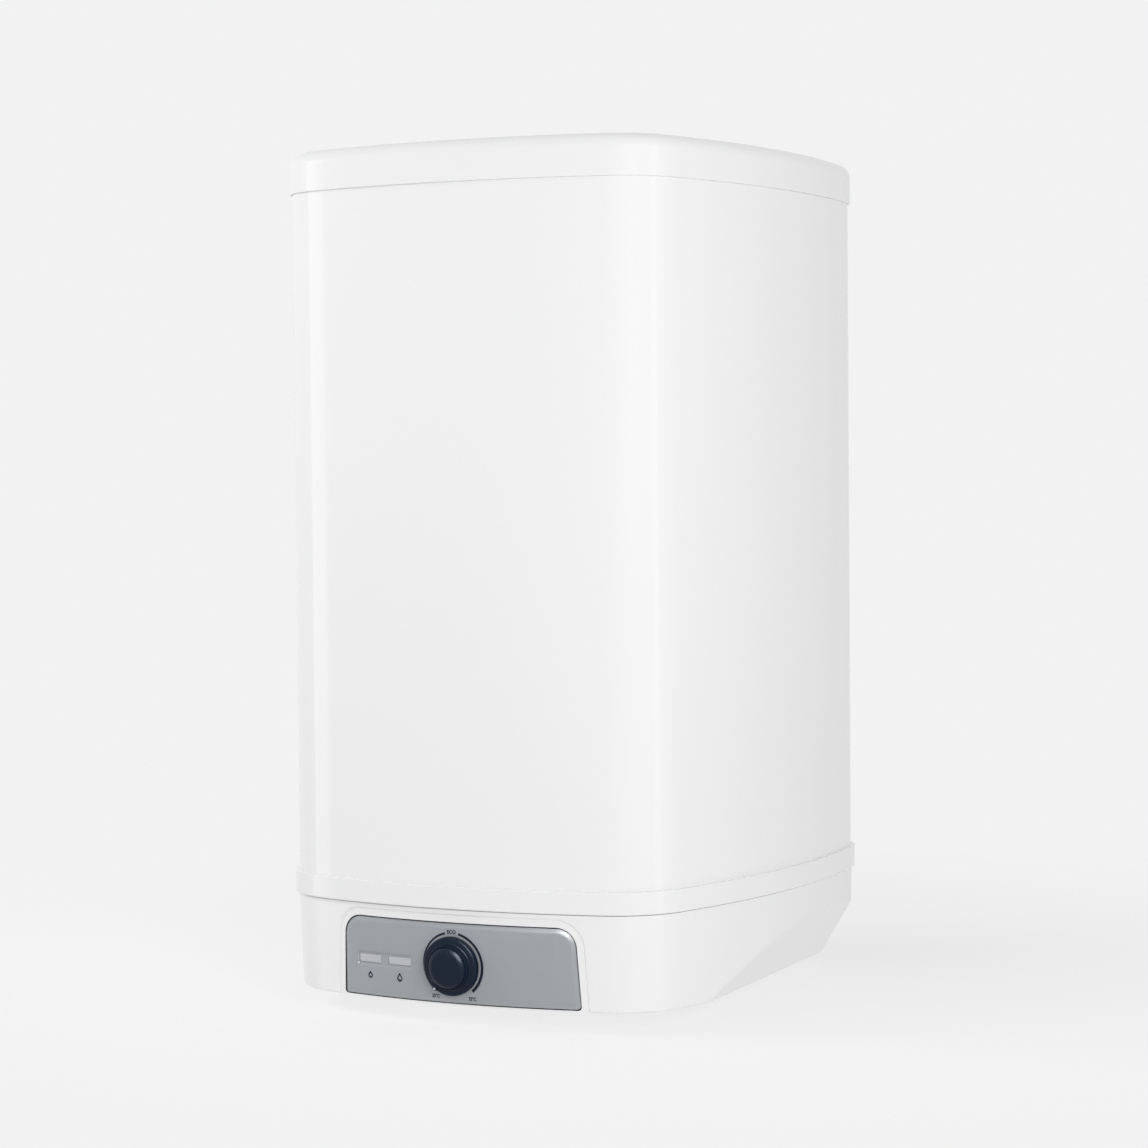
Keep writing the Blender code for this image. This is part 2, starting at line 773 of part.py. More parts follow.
def lower_cover():
    top = band_z - seam_gap
    cover = cut(cover_block("cover", 0.0, cover_z, top, cover_edge_radius), *facet_cutters(0.0))
    hollow = cover_block("cover_hollow", cover_wall, cover_floor_z, band_z + overrun)
    cut(hollow, *facet_cutters(cover_wall))
    # The wall steps in behind the panel, so that the panel has a floor to lie on
    backing = standing_prism("panel_backing", panel_outline(cover_wall), front_y - overrun,
                             front_y + body_depth / 4)
    cut(backing, cover_block("backing_depth", pocket_depth + cover_wall, cover_z - overrun, band_z + overrun))
    cut(hollow, backing)
    cut(cover, hollow)
    pocket = standing_prism("panel_pocket", panel_outline(fit_gap), front_y - overrun,
                            front_y + body_depth / 4)
    cut(pocket, cover_block("pocket_floor", pocket_depth, cover_z - overrun, band_z + overrun))
    flare = standing_prism("panel_flare", flare_outline(), front_y - overrun, front_y + body_depth / 4)
    cut(flare, cover_block("flare_floor", flare_depth, cover_z - overrun, band_z + overrun))
    cut(cover, flare, pocket)
    for centre in lens_centres:
        window = standing_prism("window", lens_outline(centre, -lens_seat), front_y - overrun,
                                front_y + body_depth / 4)
        cut(cover, window)
    for x, y in board_post_places():
        pin_low = -board_standoff - fit_gap - board_thickness - board_pin_proud
        profile = [(0, cover_wall / 2), (board_post_radius, cover_wall / 2),
                   (board_post_radius, -board_standoff), (board_pin_radius, -board_standoff),
                   (board_pin_radius, pin_low), (0, pin_low)]
        fuse(cover, turned("board_post", profile, small_turn, (x, y, 0), board_frame))
    cut(cover, rod("shaft_hole", shaft_radius + cover_wall / 2, -pocket_depth - cover_wall * 2, overrun,
                   (0, 0, 0), parent=knob_frame))
    for side in (-1, 1):
        cut(cover, rod("carrier_screw_hole", carrier_screw_radius + fit_gap,
                       -pocket_depth - cover_wall * 2, overrun, (side * carrier_screw_out, 0, 0),
                       parent=knob_frame))
    for x, y in pipe_places().values():
        cut(cover, rod("collar_hole", collar_sleeve_radius + fit_gap, cover_z - overrun,
                       cover_floor_z + overrun, (x, y, 0), round_turn))
    cut(cover, rod("gland_hole", gland_thread_radius + fit_gap, cover_z - overrun,
                   cover_floor_z + overrun, (gland_right, centre_y + gland_back, 0), round_turn))
    for x, y in pillar_places():
        cut(cover, rod("cover_screw_hole", cover_screw_radius + fit_gap, cover_z - overrun,
                       cover_floor_z + overrun, (x, y, 0)))
    return piece("lower_cover", cover, white_plastic)


def flare_outline():
    """The shallow dished edge runs round the panel's sides and top only."""
    low = cover_z + cover_edge_radius
    return rounded_plate(panel_top_width + 2 * flare_width, panel_bottom_width + 2 * flare_width,
                         low, band_z - panel_below_band + flare_width,
                         panel_bottom_corner, panel_top_corner + flare_width)


# Control panel, lenses and indicator board

def control_panel():
    panel = bowed_plate("panel", panel_outline(0.0), panel_set_back, panel_set_back + panel_thickness)
    left, right = lens_centres
    recess_width = right - left + lens_width + 2 * lens_recess_margin
    recess_rise = lens_height / 2 + lens_recess_above
    recess = standing_prism("lens_recess", rounded_plate(
        recess_width, recess_width, lens_z - recess_rise, lens_z + recess_rise,
        lens_corner + lens_recess_margin, lens_corner + lens_recess_margin, (left + right) / 2),
        front_y - overrun, front_y + body_depth / 4)
    cut(recess, cover_block("recess_floor", panel_set_back + lens_recess_depth,
                            cover_z - overrun, band_z + overrun))
    cut(panel, recess)
    for centre in lens_centres:
        cut(panel, standing_prism("lens_window", lens_outline(centre, fit_gap), front_y - overrun,
                                  front_y + body_depth / 4))
    cut(panel, rod("panel_shaft_hole", shaft_radius + cover_wall / 2, -pocket_depth - overrun, overrun,
                   (0, 0, 0), parent=knob_frame))
    for side in (-1, 1):
        cut(panel, rod("panel_screw_hole", carrier_screw_radius + fit_gap, -pocket_depth - overrun, overrun,
                       (side * carrier_screw_out, 0, 0), parent=knob_frame))
    return piece("control_panel", panel, grey_panel)


def lenses():
    for name, centre in zip(("power_lens", "heating_lens"), lens_centres):
        lens = bowed_plate(name, lens_outline(centre, 0.0), panel_set_back + lens_set_back,
                           panel_set_back + panel_thickness)
        piece(name, lens, clear_lens)


def board_post_places():
    return [(side * board_post_spacing / 2, 0.0) for side in (-1, 1)]


def indicator_board():
    """The board lies behind the windows, with a lamp behind each one."""
    board_top = -board_standoff - fit_gap
    middle = board_top - board_thickness / 2
    board = box("board", (board_width, board_height, board_thickness), (0, 0, middle), board_frame)
    for x, y in board_post_places():
        cut(board, rod("board_hole", board_pin_radius + fit_gap, board_top - board_thickness - overrun,
                       board_top + overrun, (x, y, 0), parent=board_frame))
    piece("indicator_board", board, board_green)
    lamp_low = board_top + fit_gap
    lamp_high = -fit_gap * 2
    for name, side in (("power_lamp", -1), ("heating_lamp", 1)):
        place = (side * (lens_centres[1] - lens_centres[0]) / 2, 0, 0)
        lamp = turned(name, [(0, lamp_high), (lamp_radius / 2, lamp_high),
                             (lamp_radius, lamp_high - lamp_radius / 2),
                             (lamp_radius, lamp_low + lamp_rim_height),
                             (lamp_rim, lamp_low + lamp_rim_height), (lamp_rim, lamp_low), (0, lamp_low)],
                      small_turn, place, board_frame)
        piece(name, lamp, clear_lens)


# Knob and thermostat

def temperature_knob():
    low = knob_lift
    top = low + knob_height
    skirt = low + knob_skirt_height
    edge = knob_skirt_height / 2
    outer = [(0, top - knob_groove_depth / 2), (knob_face_radius, top - knob_groove_depth / 2),
             (knob_face_radius + knob_wall / 3, top), (knob_grip_radius - knob_wall / 2, top)]
    outer += [(knob_grip_radius, top - knob_wall / 2), (knob_grip_radius, skirt - knob_groove_depth)]
    outer += [(knob_groove_radius, skirt - knob_groove_depth), (knob_groove_radius + knob_wall / 4, skirt)]
    centre = (knob_skirt_radius - edge, skirt - edge)
    outer += arc(centre, edge, math.pi / 2, 0.0, round_steps)
    outer += [(knob_skirt_radius, low)]
    roof = skirt - knob_wall
    inner = [(knob_skirt_radius - knob_wall, low), (knob_skirt_radius - knob_wall, roof - knob_wall / 2),
             (knob_hub_radius, roof - knob_wall / 2), (knob_hub_radius, low), (0, low)]
    knob = turned("knob", outer + inner, round_turn, parent=knob_frame)
    for name, start, length, height in pointer_ribs():
        reach = start + length / 2
        spot = (reach * math.sin(knob_start_angle), reach * math.cos(knob_start_angle), (height + skirt) / 2)
        size = (pointer_width, length, height - skirt)
        fuse(knob, box(name, size, spot, knob_frame, (0, 0, -knob_start_angle)))
    socket = rod("knob_socket", shaft_radius + fit_gap, low - overrun, low + knob_socket_depth,
                 (0, 0, 0), parent=knob_frame)
    cut(knob, socket)
    return piece("temperature_knob", knob, dark_blue_plastic)


def pointer_ribs():
    """A raised pointer that runs out over the skirt."""
    skirt = knob_lift + knob_skirt_height
    start = knob_grip_radius - knob_wall / 2
    return [("pointer", start, knob_skirt_radius - knob_wall / 4 - start, skirt + pointer_height / 2)]


def bow_drop(half_width):
    """How far the bowed front falls back at a distance from the middle."""
    return front_bow_radius - math.sqrt(front_bow_radius ** 2 - half_width ** 2)


def thermostat():
    back = -pocket_depth + panel_set_back - cover_wall - bow_drop(carrier_width / 2) - fit_gap
    carrier = box("carrier", (carrier_width, carrier_height, carrier_thickness),
                  (0, 0, back - carrier_thickness / 2), knob_frame)
    cut(carrier, rod("carrier_hole", shaft_radius + cover_wall / 2, back - carrier_thickness - overrun,
                     back + overrun, (0, 0, 0), parent=knob_frame))
    for side in (-1, 1):
        cut(carrier, rod("carrier_bolt_hole", carrier_screw_radius + fit_gap,
                         back - carrier_thickness - overrun, back + overrun,
                         (side * carrier_screw_out, 0, 0), parent=knob_frame))
    piece("thermostat_bracket", carrier, zinc_steel)

    face = back - carrier_thickness - fit_gap
    rear = face - thermostat_depth
    body = box("thermostat", (thermostat_width, thermostat_height, thermostat_depth),
               (0, 0, (face + rear) / 2), knob_frame, edge=thermostat_edge)
    cut(body, rod("thermostat_bore", shaft_radius + fit_gap, face - shaft_socket_depth - fit_gap,
                  face + overrun, (0, 0, 0), parent=knob_frame))
    for side in (-1, 1):
        fuse(body, box("tab", (tab_width, tab_thickness, tab_length + tab_thickness),
                       (side * tab_out, 0, rear - (tab_length - tab_thickness) / 2), knob_frame))
    piece("thermostat_body", body, cream_plastic)

    shaft_top = knob_lift + knob_socket_depth - fit_gap
    shaft = rod("shaft", shaft_radius, face - shaft_socket_depth, shaft_top, (0, 0, 0), 16, knob_frame)
    flat_height = shaft_top - knob_lift
    cut(shaft, box("shaft_flat", (shaft_radius * 2, shaft_radius, flat_height + overrun),
                   (0, shaft_flat + shaft_radius / 2, knob_lift + (flat_height + overrun) / 2), knob_frame))
    piece("thermostat_shaft", shaft, zinc_steel)

    tip = back - carrier_thickness - fit_gap * 2
    for name, side in (("left_thermostat_screw", -1), ("right_thermostat_screw", 1)):
        turn = (math.pi, 0, 0)
        screw = round_screw(name, carrier_screw_radius, carrier_head_radius,
                            -fit_gap - carrier_head_height, -fit_gap, -tip,
                            (side * carrier_screw_out, 0, 0), parent=knob_frame, rotation=turn)
        piece(name, screw, zinc_steel)
    return rear


# Tank, foam and flange

def dome(radius, height, inner_radius, steps):
    """Radius and rise pairs down an elliptic bottom head to a neck."""
    start = math.acos(inner_radius / radius)
    turn = start / steps
    return [(radius * math.cos(turn * i), -height * math.sin(turn * i)) for i in range(steps + 1)]


def tank_profile(grow, neck_low):
    """The tank's outer side from the crown down to the neck."""
    radius, height = tank_radius + grow, dome_height + grow
    top, bottom = tank_top_z - dome_height, tank_bottom_z + dome_height
    crown = [(r, top - z) for r, z in dome(radius, height, 0.0, dome_steps)]
    crown[-1] = (0.0, top + height)
    foot = [(r, bottom + z) for r, z in dome(radius, height, neck_radius + grow, dome_steps)]
    return crown[::-1] + foot + [(neck_radius + grow, neck_low)]


def inner_tank():
    outer = tank_profile(0.0, ring_low_z)
    inner = tank_profile(-tank_wall, ring_low_z)
    tank = turned("tank", outer + inner[::-1], fine_turn, (0, centre_y, 0))
    for x, y in pipe_places().values():
        cut(tank, rod("tank_pipe_hole", pipe_radius + fit_gap, band_z, tank_bottom_z + dome_height,
                      (x, y, 0), middle_turn))
    return piece("inner_tank", tank, tank_enamel)


def tank_cutter(name, grow):
    profile = tank_profile(grow, ring_low_z - overrun)
    return turned(name, profile + [(0, ring_low_z - overrun)], fine_turn, (0, centre_y, 0))


def channel_depth():
    return channel_y - (centre_y + math.sqrt(tank_radius ** 2 - (bracket_bolt_x + channel_width / 2) ** 2))


def insulation_foam():
    shrink = casing_wall + 2 * fit_gap
    foam = prism("foam_block", body_outline(-cap_ledge - fit_gap), tray_z + fit_gap,
                 top_z - cap_wall - fit_gap, top_radius=cap_inner_edge_radius)
    cut(foam, tank_cutter("tank_room", fit_gap))
    cut(foam, rod("flange_room", foam_well_radius, band_z, tray_z + foam_well_height,
                  (0, centre_y, 0), fine_turn))
    for x, y in pipe_places().values():
        cut(foam, rod("pipe_room", pipe_radius + fit_gap, band_z, tank_bottom_z + dome_height,
                      (x, y, 0), middle_turn))
    room = channel_depth() + overrun
    for side in (-1, 1):
        size = (channel_width + 2 * fit_gap, room + shrink, channel_height + 2 * fit_gap)
        cut(foam, box("channel_room", size, (side * bracket_bolt_x, channel_y + shrink - room / 2, 0)))
    for x, z in spacer_peg_places():
        cut(foam, rod("spacer_peg_room", spacer_peg_radius + fit_gap, -overrun, spacer_peg_length,
                      (x, back_y, z), rotation=(math.pi / 2, 0, 0)))
    return piece("insulation_foam", foam, foam_material)


def flange_bolt_places():
    turn = math.tau / flange_bolt_count
    return [(flange_bolt_circle * math.cos(turn * (i + 0.5)),
             centre_y + flange_bolt_circle * math.sin(turn * (i + 0.5))) for i in range(flange_bolt_count)]


def bolt_holes(thing, radius, low, high):
    for x, y in flange_bolt_places():
        cut(thing, rod("flange_bolt_hole", radius, low - overrun, high + overrun, (x, y, 0)))
    return thing


def flange_set():
    axis = (0, centre_y, 0)
    ring = tube("ring", flange_radius, neck_radius + fit_gap, ring_low_z, ring_top_z, axis, fine_turn)
    bolt_holes(ring, flange_bolt_radius + fit_gap, ring_low_z, ring_top_z)
    piece("flange_ring", ring, plain_steel)
    gasket = tube("gasket", gasket_outer_radius, gasket_inner_radius, gasket_low_z, gasket_top_z,
                  axis, fine_turn)
    piece("flange_gasket", gasket, black_rubber)
    plate = rod("plate", flange_radius, plate_low_z, plate_top_z, axis, fine_turn)
    bolt_holes(plate, flange_bolt_radius + fit_gap, plate_low_z, plate_top_z)
    low, high = plate_low_z - overrun, plate_top_z + overrun
    for side in (-1, 1):
        cut(plate, rod("leg_hole", element_radius + fit_gap, low, high, (side * element_spread, centre_y, 0)))
    cut(plate, rod("pocket_hole", pocket_radius + fit_gap, low, high, (0, centre_y + pocket_back, 0)))
    cut(plate, rod("anode_hole", anode_bolt_radius + fit_gap, low, high, (0, centre_y - anode_front, 0)))
    cut(plate, rod("cutout_stud_hole", cutout_stud_radius + fit_gap, low,
                   plate_low_z + cutout_stud_length + fit_gap, (cutout_out, centre_y, 0)))
    cut(plate, rod("earth_hole", earth_screw_radius + fit_gap, low, plate_low_z + earth_screw_depth,
                   (earth_right, centre_y - earth_front, 0)))
    piece("flange_plate", plate, zinc_steel)
    head_low = plate_low_z - fit_gap - hex_head_height
    for number, (x, y) in enumerate(flange_bolt_places(), 1):
        name = f"flange_bolt_{number}"
        piece(name, hex_bolt(name, flange_bolt_radius, head_low, ring_top_z + flange_bolt_tip, (x, y, 0)),
              zinc_steel)


def heating_element():
    low = plate_low_z - element_below_plate
    high = plate_top_z + element_height - element_spread
    route = [(element_spread, centre_y, low), (element_spread, centre_y, (low + high) / 2)]
    bend = arc((0, high), element_spread, 0.0, math.pi, bend_steps)
    route += [(x, centre_y, z) for x, z in bend]
    route += [(-element_spread, centre_y, (low + high) / 2), (-element_spread, centre_y, low)]
    element = tube_along("element", route, element_radius)
    tip = low - terminal_length
    for side in (-1, 1):
        profile = [(0, low + bush_height / 2), (element_radius - fit_gap, low + bush_height / 2),
                   (element_radius - fit_gap, low - bush_height / 4), (bush_radius, low - bush_height / 4),
                   (bush_radius, low - bush_height), (terminal_radius, low - bush_height),
                   (terminal_radius, tip), (0, tip)]
        fuse(element, turned("terminal", profile, small_turn, (side * element_spread, centre_y, 0)))
    piece("heating_element", element, copper)
    return tip


def thermostat_pocket():
    place = (0, centre_y + pocket_back, 0)
    top = plate_top_z + pocket_height
    low = plate_low_z - fit_gap - pocket_collar_height
    profile = [(0, top), (pocket_radius, top), (pocket_radius, low + pocket_collar_height),
               (pocket_collar_radius, low + pocket_collar_height), (pocket_collar_radius, low),
               (pocket_bore, low), (pocket_bore, top - tank_wall), (0, top - tank_wall)]
    piece("thermostat_pocket", turned("pocket", profile, small_turn, place), copper)
    bulb_low = plate_low_z + bulb_inset
    piece("sensor_bulb", rod("bulb", bulb_radius, bulb_low, bulb_low + bulb_length, place), copper)
    return bulb_low


def anode():
    place = (0, centre_y - anode_front, 0)
    low = plate_top_z + fit_gap
    rod_profile = [(0, low + anode_length), (anode_radius, low + anode_length), (anode_radius, low),
                   (anode_bolt_radius + fit_gap, low), (anode_bolt_radius + fit_gap, low + anode_bolt_depth),
                   (0, low + anode_bolt_depth)]
    piece("anode_rod", turned("anode", rod_profile, 16, place), magnesium)
    bolt = hex_bolt("anode_bolt", anode_bolt_radius, plate_low_z - fit_gap - hex_head_height,
                    low + anode_bolt_depth - fit_gap, place)
    piece("anode_bolt", bolt, zinc_steel)


def safety_cutout():
    """A disc thermostat under the flange plate, held by the stud on its back."""
    place = (cutout_out, centre_y, 0)
    top = plate_low_z - fit_gap
    low = top - cutout_height
    waist = low + cutout_waist_height
    tip = plate_low_z + cutout_stud_length
    profile = [(0, tip), (cutout_stud_radius, tip), (cutout_stud_radius, top), (cutout_radius, top),
               (cutout_radius, waist), (cutout_waist_radius, waist), (cutout_waist_radius, low), (0, low)]
    body = turned("cutout", profile, round_turn, place)
    button_top = low + button_in_body
    cut(body, rod("button_bore", button_radius + fit_gap, low - overrun,
                  button_top + button_travel + fit_gap, place))
    piece("safety_cutout", body, black_plastic)
    button = turned("button", [(0, button_top), (button_radius, button_top),
                               (button_radius, low - button_proud + button_radius / 2),
                               (button_radius / 2, low - button_proud), (0, low - button_proud)],
                    small_turn, place)
    piece("reset_button", button, red_plastic)
    return low


def earth_screw():
    head = plate_low_z - fit_gap
    low = head - earth_head_height
    screw = round_screw("earth", earth_screw_radius, earth_head_radius, low, head,
                        plate_low_z + earth_screw_depth - fit_gap, (earth_right, centre_y - earth_front, 0))
    piece("earth_screw", screw, brass)
    return low


def terminal_block():
    top = band_z - fit_gap
    middle = (block_right, centre_y - block_front, top - block_height / 2)
    block = box("block", (block_width, block_length, block_height), middle, edge=block_edge)
    entry_z = top - block_height / 2
    for i in (-1, 0, 1):
        y = centre_y - block_front + i * block_pitch
        cut(block, rod("block_screw_room", block_screw_radius, top - block_height - overrun,
                       top - block_height + block_screw_depth, (block_right, y, 0)))
        cut(block, rod("block_entry", block_entry_radius, -overrun, block_entry_depth,
                       (block_right - block_width / 2, y, entry_z), rotation=(0, math.pi / 2, 0)))
    piece("terminal_block", block, black_plastic)
    return entry_z


# Pipes, collars and gland

def pipes():
    low, high = cover_z - pipe_below_cover, tank_bottom_z + pipe_into_tank + fit_gap
    for name, (x, y) in pipe_places().items():
        label = {"hot": "hot_outlet_pipe", "cold": "cold_inlet_pipe"}[name]
        piece(label, tube(label, pipe_radius, pipe_bore, low, high, (x, y, 0), middle_turn), zinc_steel)
        collar_top = cover_z - fit_gap
        collar = turned(name + "_collar", [
            (collar_sleeve_radius, collar_top + collar_sleeve_height), (collar_sleeve_radius, collar_top),
            (collar_flange_radius, collar_top), (collar_flange_radius, collar_top - collar_flange_height),
            (pipe_radius + fit_gap, collar_top - collar_flange_height),
            (pipe_radius + fit_gap, collar_top + collar_sleeve_height)],
            round_turn, (x, y, 0), closed=True)
        piece(name + "_collar", collar, {"hot": red_plastic, "cold": blue_plastic}[name])
    hot_x, hot_y = pipe_places()["hot"]
    riser = tube("riser", riser_radius, riser_bore, band_z - riser_below_tray,
                 tank_top_z - riser_under_dome, (hot_x, hot_y, 0), middle_turn)
    piece("hot_riser_tube", riser, zinc_steel)
    inlet_diffuser(high)


def inlet_diffuser(pipe_top):
    """A plastic cap on the cold pipe's end that turns the flow sideways."""
    x, y = pipe_places()["cold"]
    low = pipe_top + fit_gap
    top = low + diffuser_head_height
    profile = [(0, top), (diffuser_head_radius, top), (diffuser_head_radius, low),
               (diffuser_sleeve_radius, low), (diffuser_sleeve_radius, low - diffuser_sleeve_length),
               (diffuser_bore, low - diffuser_sleeve_length), (diffuser_bore, top - diffuser_roof),
               (0, top - diffuser_roof)]
    cap = turned("diffuser", profile, 16, (x, y, 0))
    window_z = low + (diffuser_head_height - diffuser_roof) / 2
    for across, along in ((1, 0), (0, 1)):
        reach = 3 * diffuser_head_radius
        size = (reach if across else diffuser_window, reach if along else diffuser_window, diffuser_window)
        cut(cap, box("diffuser_window", size, (x, y, window_z)))
    piece("inlet_diffuser", cap, grey_plastic)


def cable_gland():
    x, y = gland_right, centre_y + gland_back
    face = cover_z - fit_gap
    nut_low = cover_floor_z + fit_gap
    thread_top = nut_low + gland_nut_height + fit_gap
    low = face - gland_body_height
    profile = [(gland_thread_radius, thread_top), (gland_thread_radius, face), (gland_body_radius, face),
               (gland_body_radius, low), (gland_dome_radius, low - gland_dome_height),
               (gland_bore, low - gland_dome_height), (gland_bore, thread_top)]
    piece("cable_gland", turned("gland", profile, round_turn, (x, y, 0), closed=True), black_plastic)
    nut = rod("gland_nut", gland_nut_radius, nut_low, nut_low + gland_nut_height, (x, y, 0), 6)
    cut(nut, rod("gland_nut_bore", gland_thread_radius + fit_gap, nut_low - overrun,
                 nut_low + gland_nut_height + overrun, (x, y, 0), round_turn))
    piece("gland_locknut", nut, black_plastic)


def cover_screws():
    head = cover_z - fit_gap
    top = cover_floor_z + fit_gap + cover_screw_length - fit_gap
    for name, (x, y) in zip(("left_cover_screw", "right_cover_screw"), pillar_places()):
        screw = round_screw(name, cover_screw_radius, cover_screw_head, head - cover_screw_head_height, head,
                            top, (x, y, 0), middle_turn)
        piece(name, screw, zinc_steel)


# Wall bracket, channels and spacer

def hat_plate(name, web_width, foot_width, height, level):
    """A folded strip: its web lies on the wall, its feet on the casing."""
    bm = bmesh.new()
    web, foot = web_width / 2, web_width / 2 + foot_width
    rear = [(-foot, foot_y), (-web, foot_y), (-web + wall_gap / 2, 0.0), (web - wall_gap / 2, 0.0),
            (web, foot_y), (foot, foot_y)]
    points = [bm.verts.new((x, y, level - height / 2)) for x, y in rear]
    edges = [bm.edges.new(pair) for pair in zip(points, points[1:])]
    grown = bmesh.ops.extrude_edge_only(bm, edges=edges)
    raised = [item for item in grown["geom"] if isinstance(item, bmesh.types.BMVert)]
    bmesh.ops.translate(bm, verts=raised, vec=(0, 0, height))
    bmesh.ops.recalc_face_normals(bm, faces=bm.faces)
    if sum(face.normal.y for face in bm.faces) < 0:
        bmesh.ops.reverse_faces(bm, faces=bm.faces[:])
    mesh = bpy.data.meshes.new(name)
    bm.to_mesh(mesh)
    bm.free()
    plate = new_object(name, mesh)
    wall = plate.modifiers.new("plate", "SOLIDIFY")
    wall.thickness = bracket_plate
    wall.offset = -1.0
    wall.use_even_offset = True
    return plate


def wall_bracket():
    plate = hat_plate("bracket", bracket_web_width, bracket_foot_width, bracket_height, 0.0)
    for side in (-1, 1):
        x = side * hook_slot_spacing / 2
        slot = box("hook_slot", (hook_slot_width, wall_gap, hook_slot_height - hook_slot_width), (x, 0, 0))
        for rise in (-1, 1):
            z = rise * (hook_slot_height - hook_slot_width) / 2
            fuse(slot, rod("slot_end", hook_slot_width / 2, -wall_gap / 2, wall_gap / 2, (x, 0, z), 16,
                           rotation=(math.pi / 2, 0, 0)))
        cut(plate, slot)
    for x, z in bracket_bolt_places():
        cut(plate, rod("bracket_hole", bracket_bolt_radius + fit_gap, -wall_gap, wall_gap * 2, (x, 0, z),
                       rotation=(math.pi / 2, 0, 0)))
    piece("wall_bracket", plate, zinc_steel)

    # The bolt's head lies behind the foot, and its shank runs forward into the channel
    head = -foot_y - fit_gap - hex_head_height
    tip = -channel_y + bracket_plate + hex_nut_height + bracket_bolt_tip
    for name, (x, z) in zip(("left_bracket_bolt", "right_bracket_bolt"), bracket_bolt_places()):
        bolt = hex_bolt(name, bracket_bolt_radius, head, tip, (x, 0, z), (math.pi / 2, 0, 0))
        piece(name, bolt, zinc_steel)


def bracket_channels():
    """Folded steel channels on the tank's back that the wall bracket bolts to."""
    for name, side in (("left_bracket_channel", -1), ("right_bracket_channel", 1)):
        x = side * bracket_bolt_x
        depth = channel_depth() + tank_wall
        size = (channel_width, depth, channel_height)
        channel = box("channel", size, (x, channel_y - depth / 2, 0))
        inside = (channel_width - 2 * bracket_plate, depth, channel_height + overrun)
        cut(channel, box("channel_inside", inside, (x, channel_y - bracket_plate - depth / 2, 0)))
        cut(channel, rod("channel_tank", tank_radius + fit_gap, -channel_height, channel_height,
                         (0, centre_y, 0), fine_turn * 2))
        nut_top = -channel_y + bracket_plate + hex_nut_height
        turn = (math.pi / 2, 0, 0)
        fuse(channel, rod("weld_nut", hex_head_radius, -channel_y + bracket_plate / 2, nut_top,
                          (x, 0, 0), 6, rotation=turn))
        cut(channel, rod("channel_hole", bracket_bolt_radius + fit_gap, -channel_y - overrun,
                         nut_top + overrun, (x, 0, 0), rotation=turn))
        piece(name, channel, plain_steel)


def lower_spacer():
    plate = hat_plate("spacer", spacer_web_width, spacer_foot_width, spacer_height, spacer_z)
    turn = (math.pi / 2, 0, 0)
    for side in (-1, 1):
        cut(plate, rod("spacer_hole", spacer_hole_radius, -wall_gap / 2, wall_gap / 2,
                       (side * spacer_hole_spacing / 2, 0, spacer_z), rotation=turn))
    for x, z in spacer_peg_places():
        fuse(plate, rod("spacer_peg", spacer_peg_radius, -foot_y + bracket_plate / 2,
                        -foot_y + bracket_plate + spacer_peg_length, (x, 0, z), rotation=turn))
    piece("lower_spacer", plate, grey_plastic)


# Wiring

def wiring(thermostat_rear, terminal_low, bulb_low, cutout_low, earth_low, entry_z):
    left, back, down = (-1, 0, 0), (0, 1, 0), (0, 0, -1)
    up, right = (0, 0, 1), (1, 0, 0)
    block_x = block_right - block_width / 2 - fit_gap
    block_y = [centre_y - block_front + i * block_pitch for i in (-1, 0, 1)]
    frame = knob_frame.matrix_world
    tab_end = thermostat_rear - fit_gap - tab_length
    tabs = [frame @ Vector((side * tab_out, 0, tab_end)) for side in (-1, 1)]
    lead = 3 * wire_radius
    piece("live_wire", wire("live", (block_x, block_y[0], entry_z), left, tabs[1], (0, -1, 0),
                            wire_radius, lead, lead), brown_wire)
    cutout_side = (cutout_out + cutout_radius + fit_gap, centre_y, cutout_low + cutout_height / 3)
    piece("neutral_wire", wire("neutral", (block_x, block_y[2], entry_z), left, cutout_side,
                               left, wire_radius, lead, lead), blue_wire)
    piece("earth_wire", wire("earth_lead", (block_x, block_y[1], entry_z), left,
                             (earth_right, centre_y - earth_front, earth_low - fit_gap), up,
                             wire_radius, lead, lead, wire_drop), earth_wire)
    piece("heater_wire", wire("heater_lead", tabs[0], back,
                              (-element_spread, centre_y, terminal_low - fit_gap), up,
                              wire_radius, lead, lead, wire_drop), brown_wire)
    cutout_foot = (cutout_out - cutout_radius / 2, centre_y - cutout_radius / 2, cutout_low - fit_gap)
    piece("cutout_wire", wire("cutout_lead", cutout_foot, down,
                              (element_spread, centre_y, terminal_low - fit_gap), up,
                              wire_radius, lead, lead, wire_drop), blue_wire)
    start = frame @ Vector((0, -thermostat_height / 4, thermostat_rear - fit_gap))
    piece("capillary_tube", wire("capillary", start, back,
                                 (0, centre_y + pocket_back, bulb_low - fit_gap), up,
                                 capillary_radius, lead, bulb_inset + 5 * lead, wire_drop), copper)
    board_back = -board_standoff - 2 * fit_gap - board_thickness
    board_end = board_frame.matrix_world @ Vector((board_width / 5, 0, board_back))
    side_spot = frame @ Vector((-thermostat_width / 2 - fit_gap, 0, thermostat_rear + thermostat_depth / 2))
    piece("lamp_lead", wire("lamp_pair", board_end, back, side_spot, right, lamp_lead_radius, lead, lead),
          black_rubber)


# Frames that carry the turning pieces and the indicator board

def empty(name, location, rotation):
    frame = bpy.data.objects.new(name, None)
    frame.location = location
    frame.rotation_euler = rotation
    cutters.objects.link(frame)
    bpy.context.view_layer.update()
    return frame


front_slope = math.atan2(front_face_y(0.0, cover_z) - front_face_y(0.0, band_z), cover_height)
knob_frame = empty("knob_frame", (0, front_face_y(panel_set_back, knob_z), knob_z),
                   (math.pi / 2 + front_slope, 0, 0))
board_x = (lens_centres[0] + lens_centres[1]) / 2
board_turn = math.asin(board_x / front_bow_radius)
board_y = front_face_y(pocket_depth + cover_wall, lens_z) + front_bow_radius * (1 - math.cos(board_turn))
board_frame = empty("board_frame", (board_x, board_y, lens_z), (math.pi / 2 + front_slope, 0, board_turn))

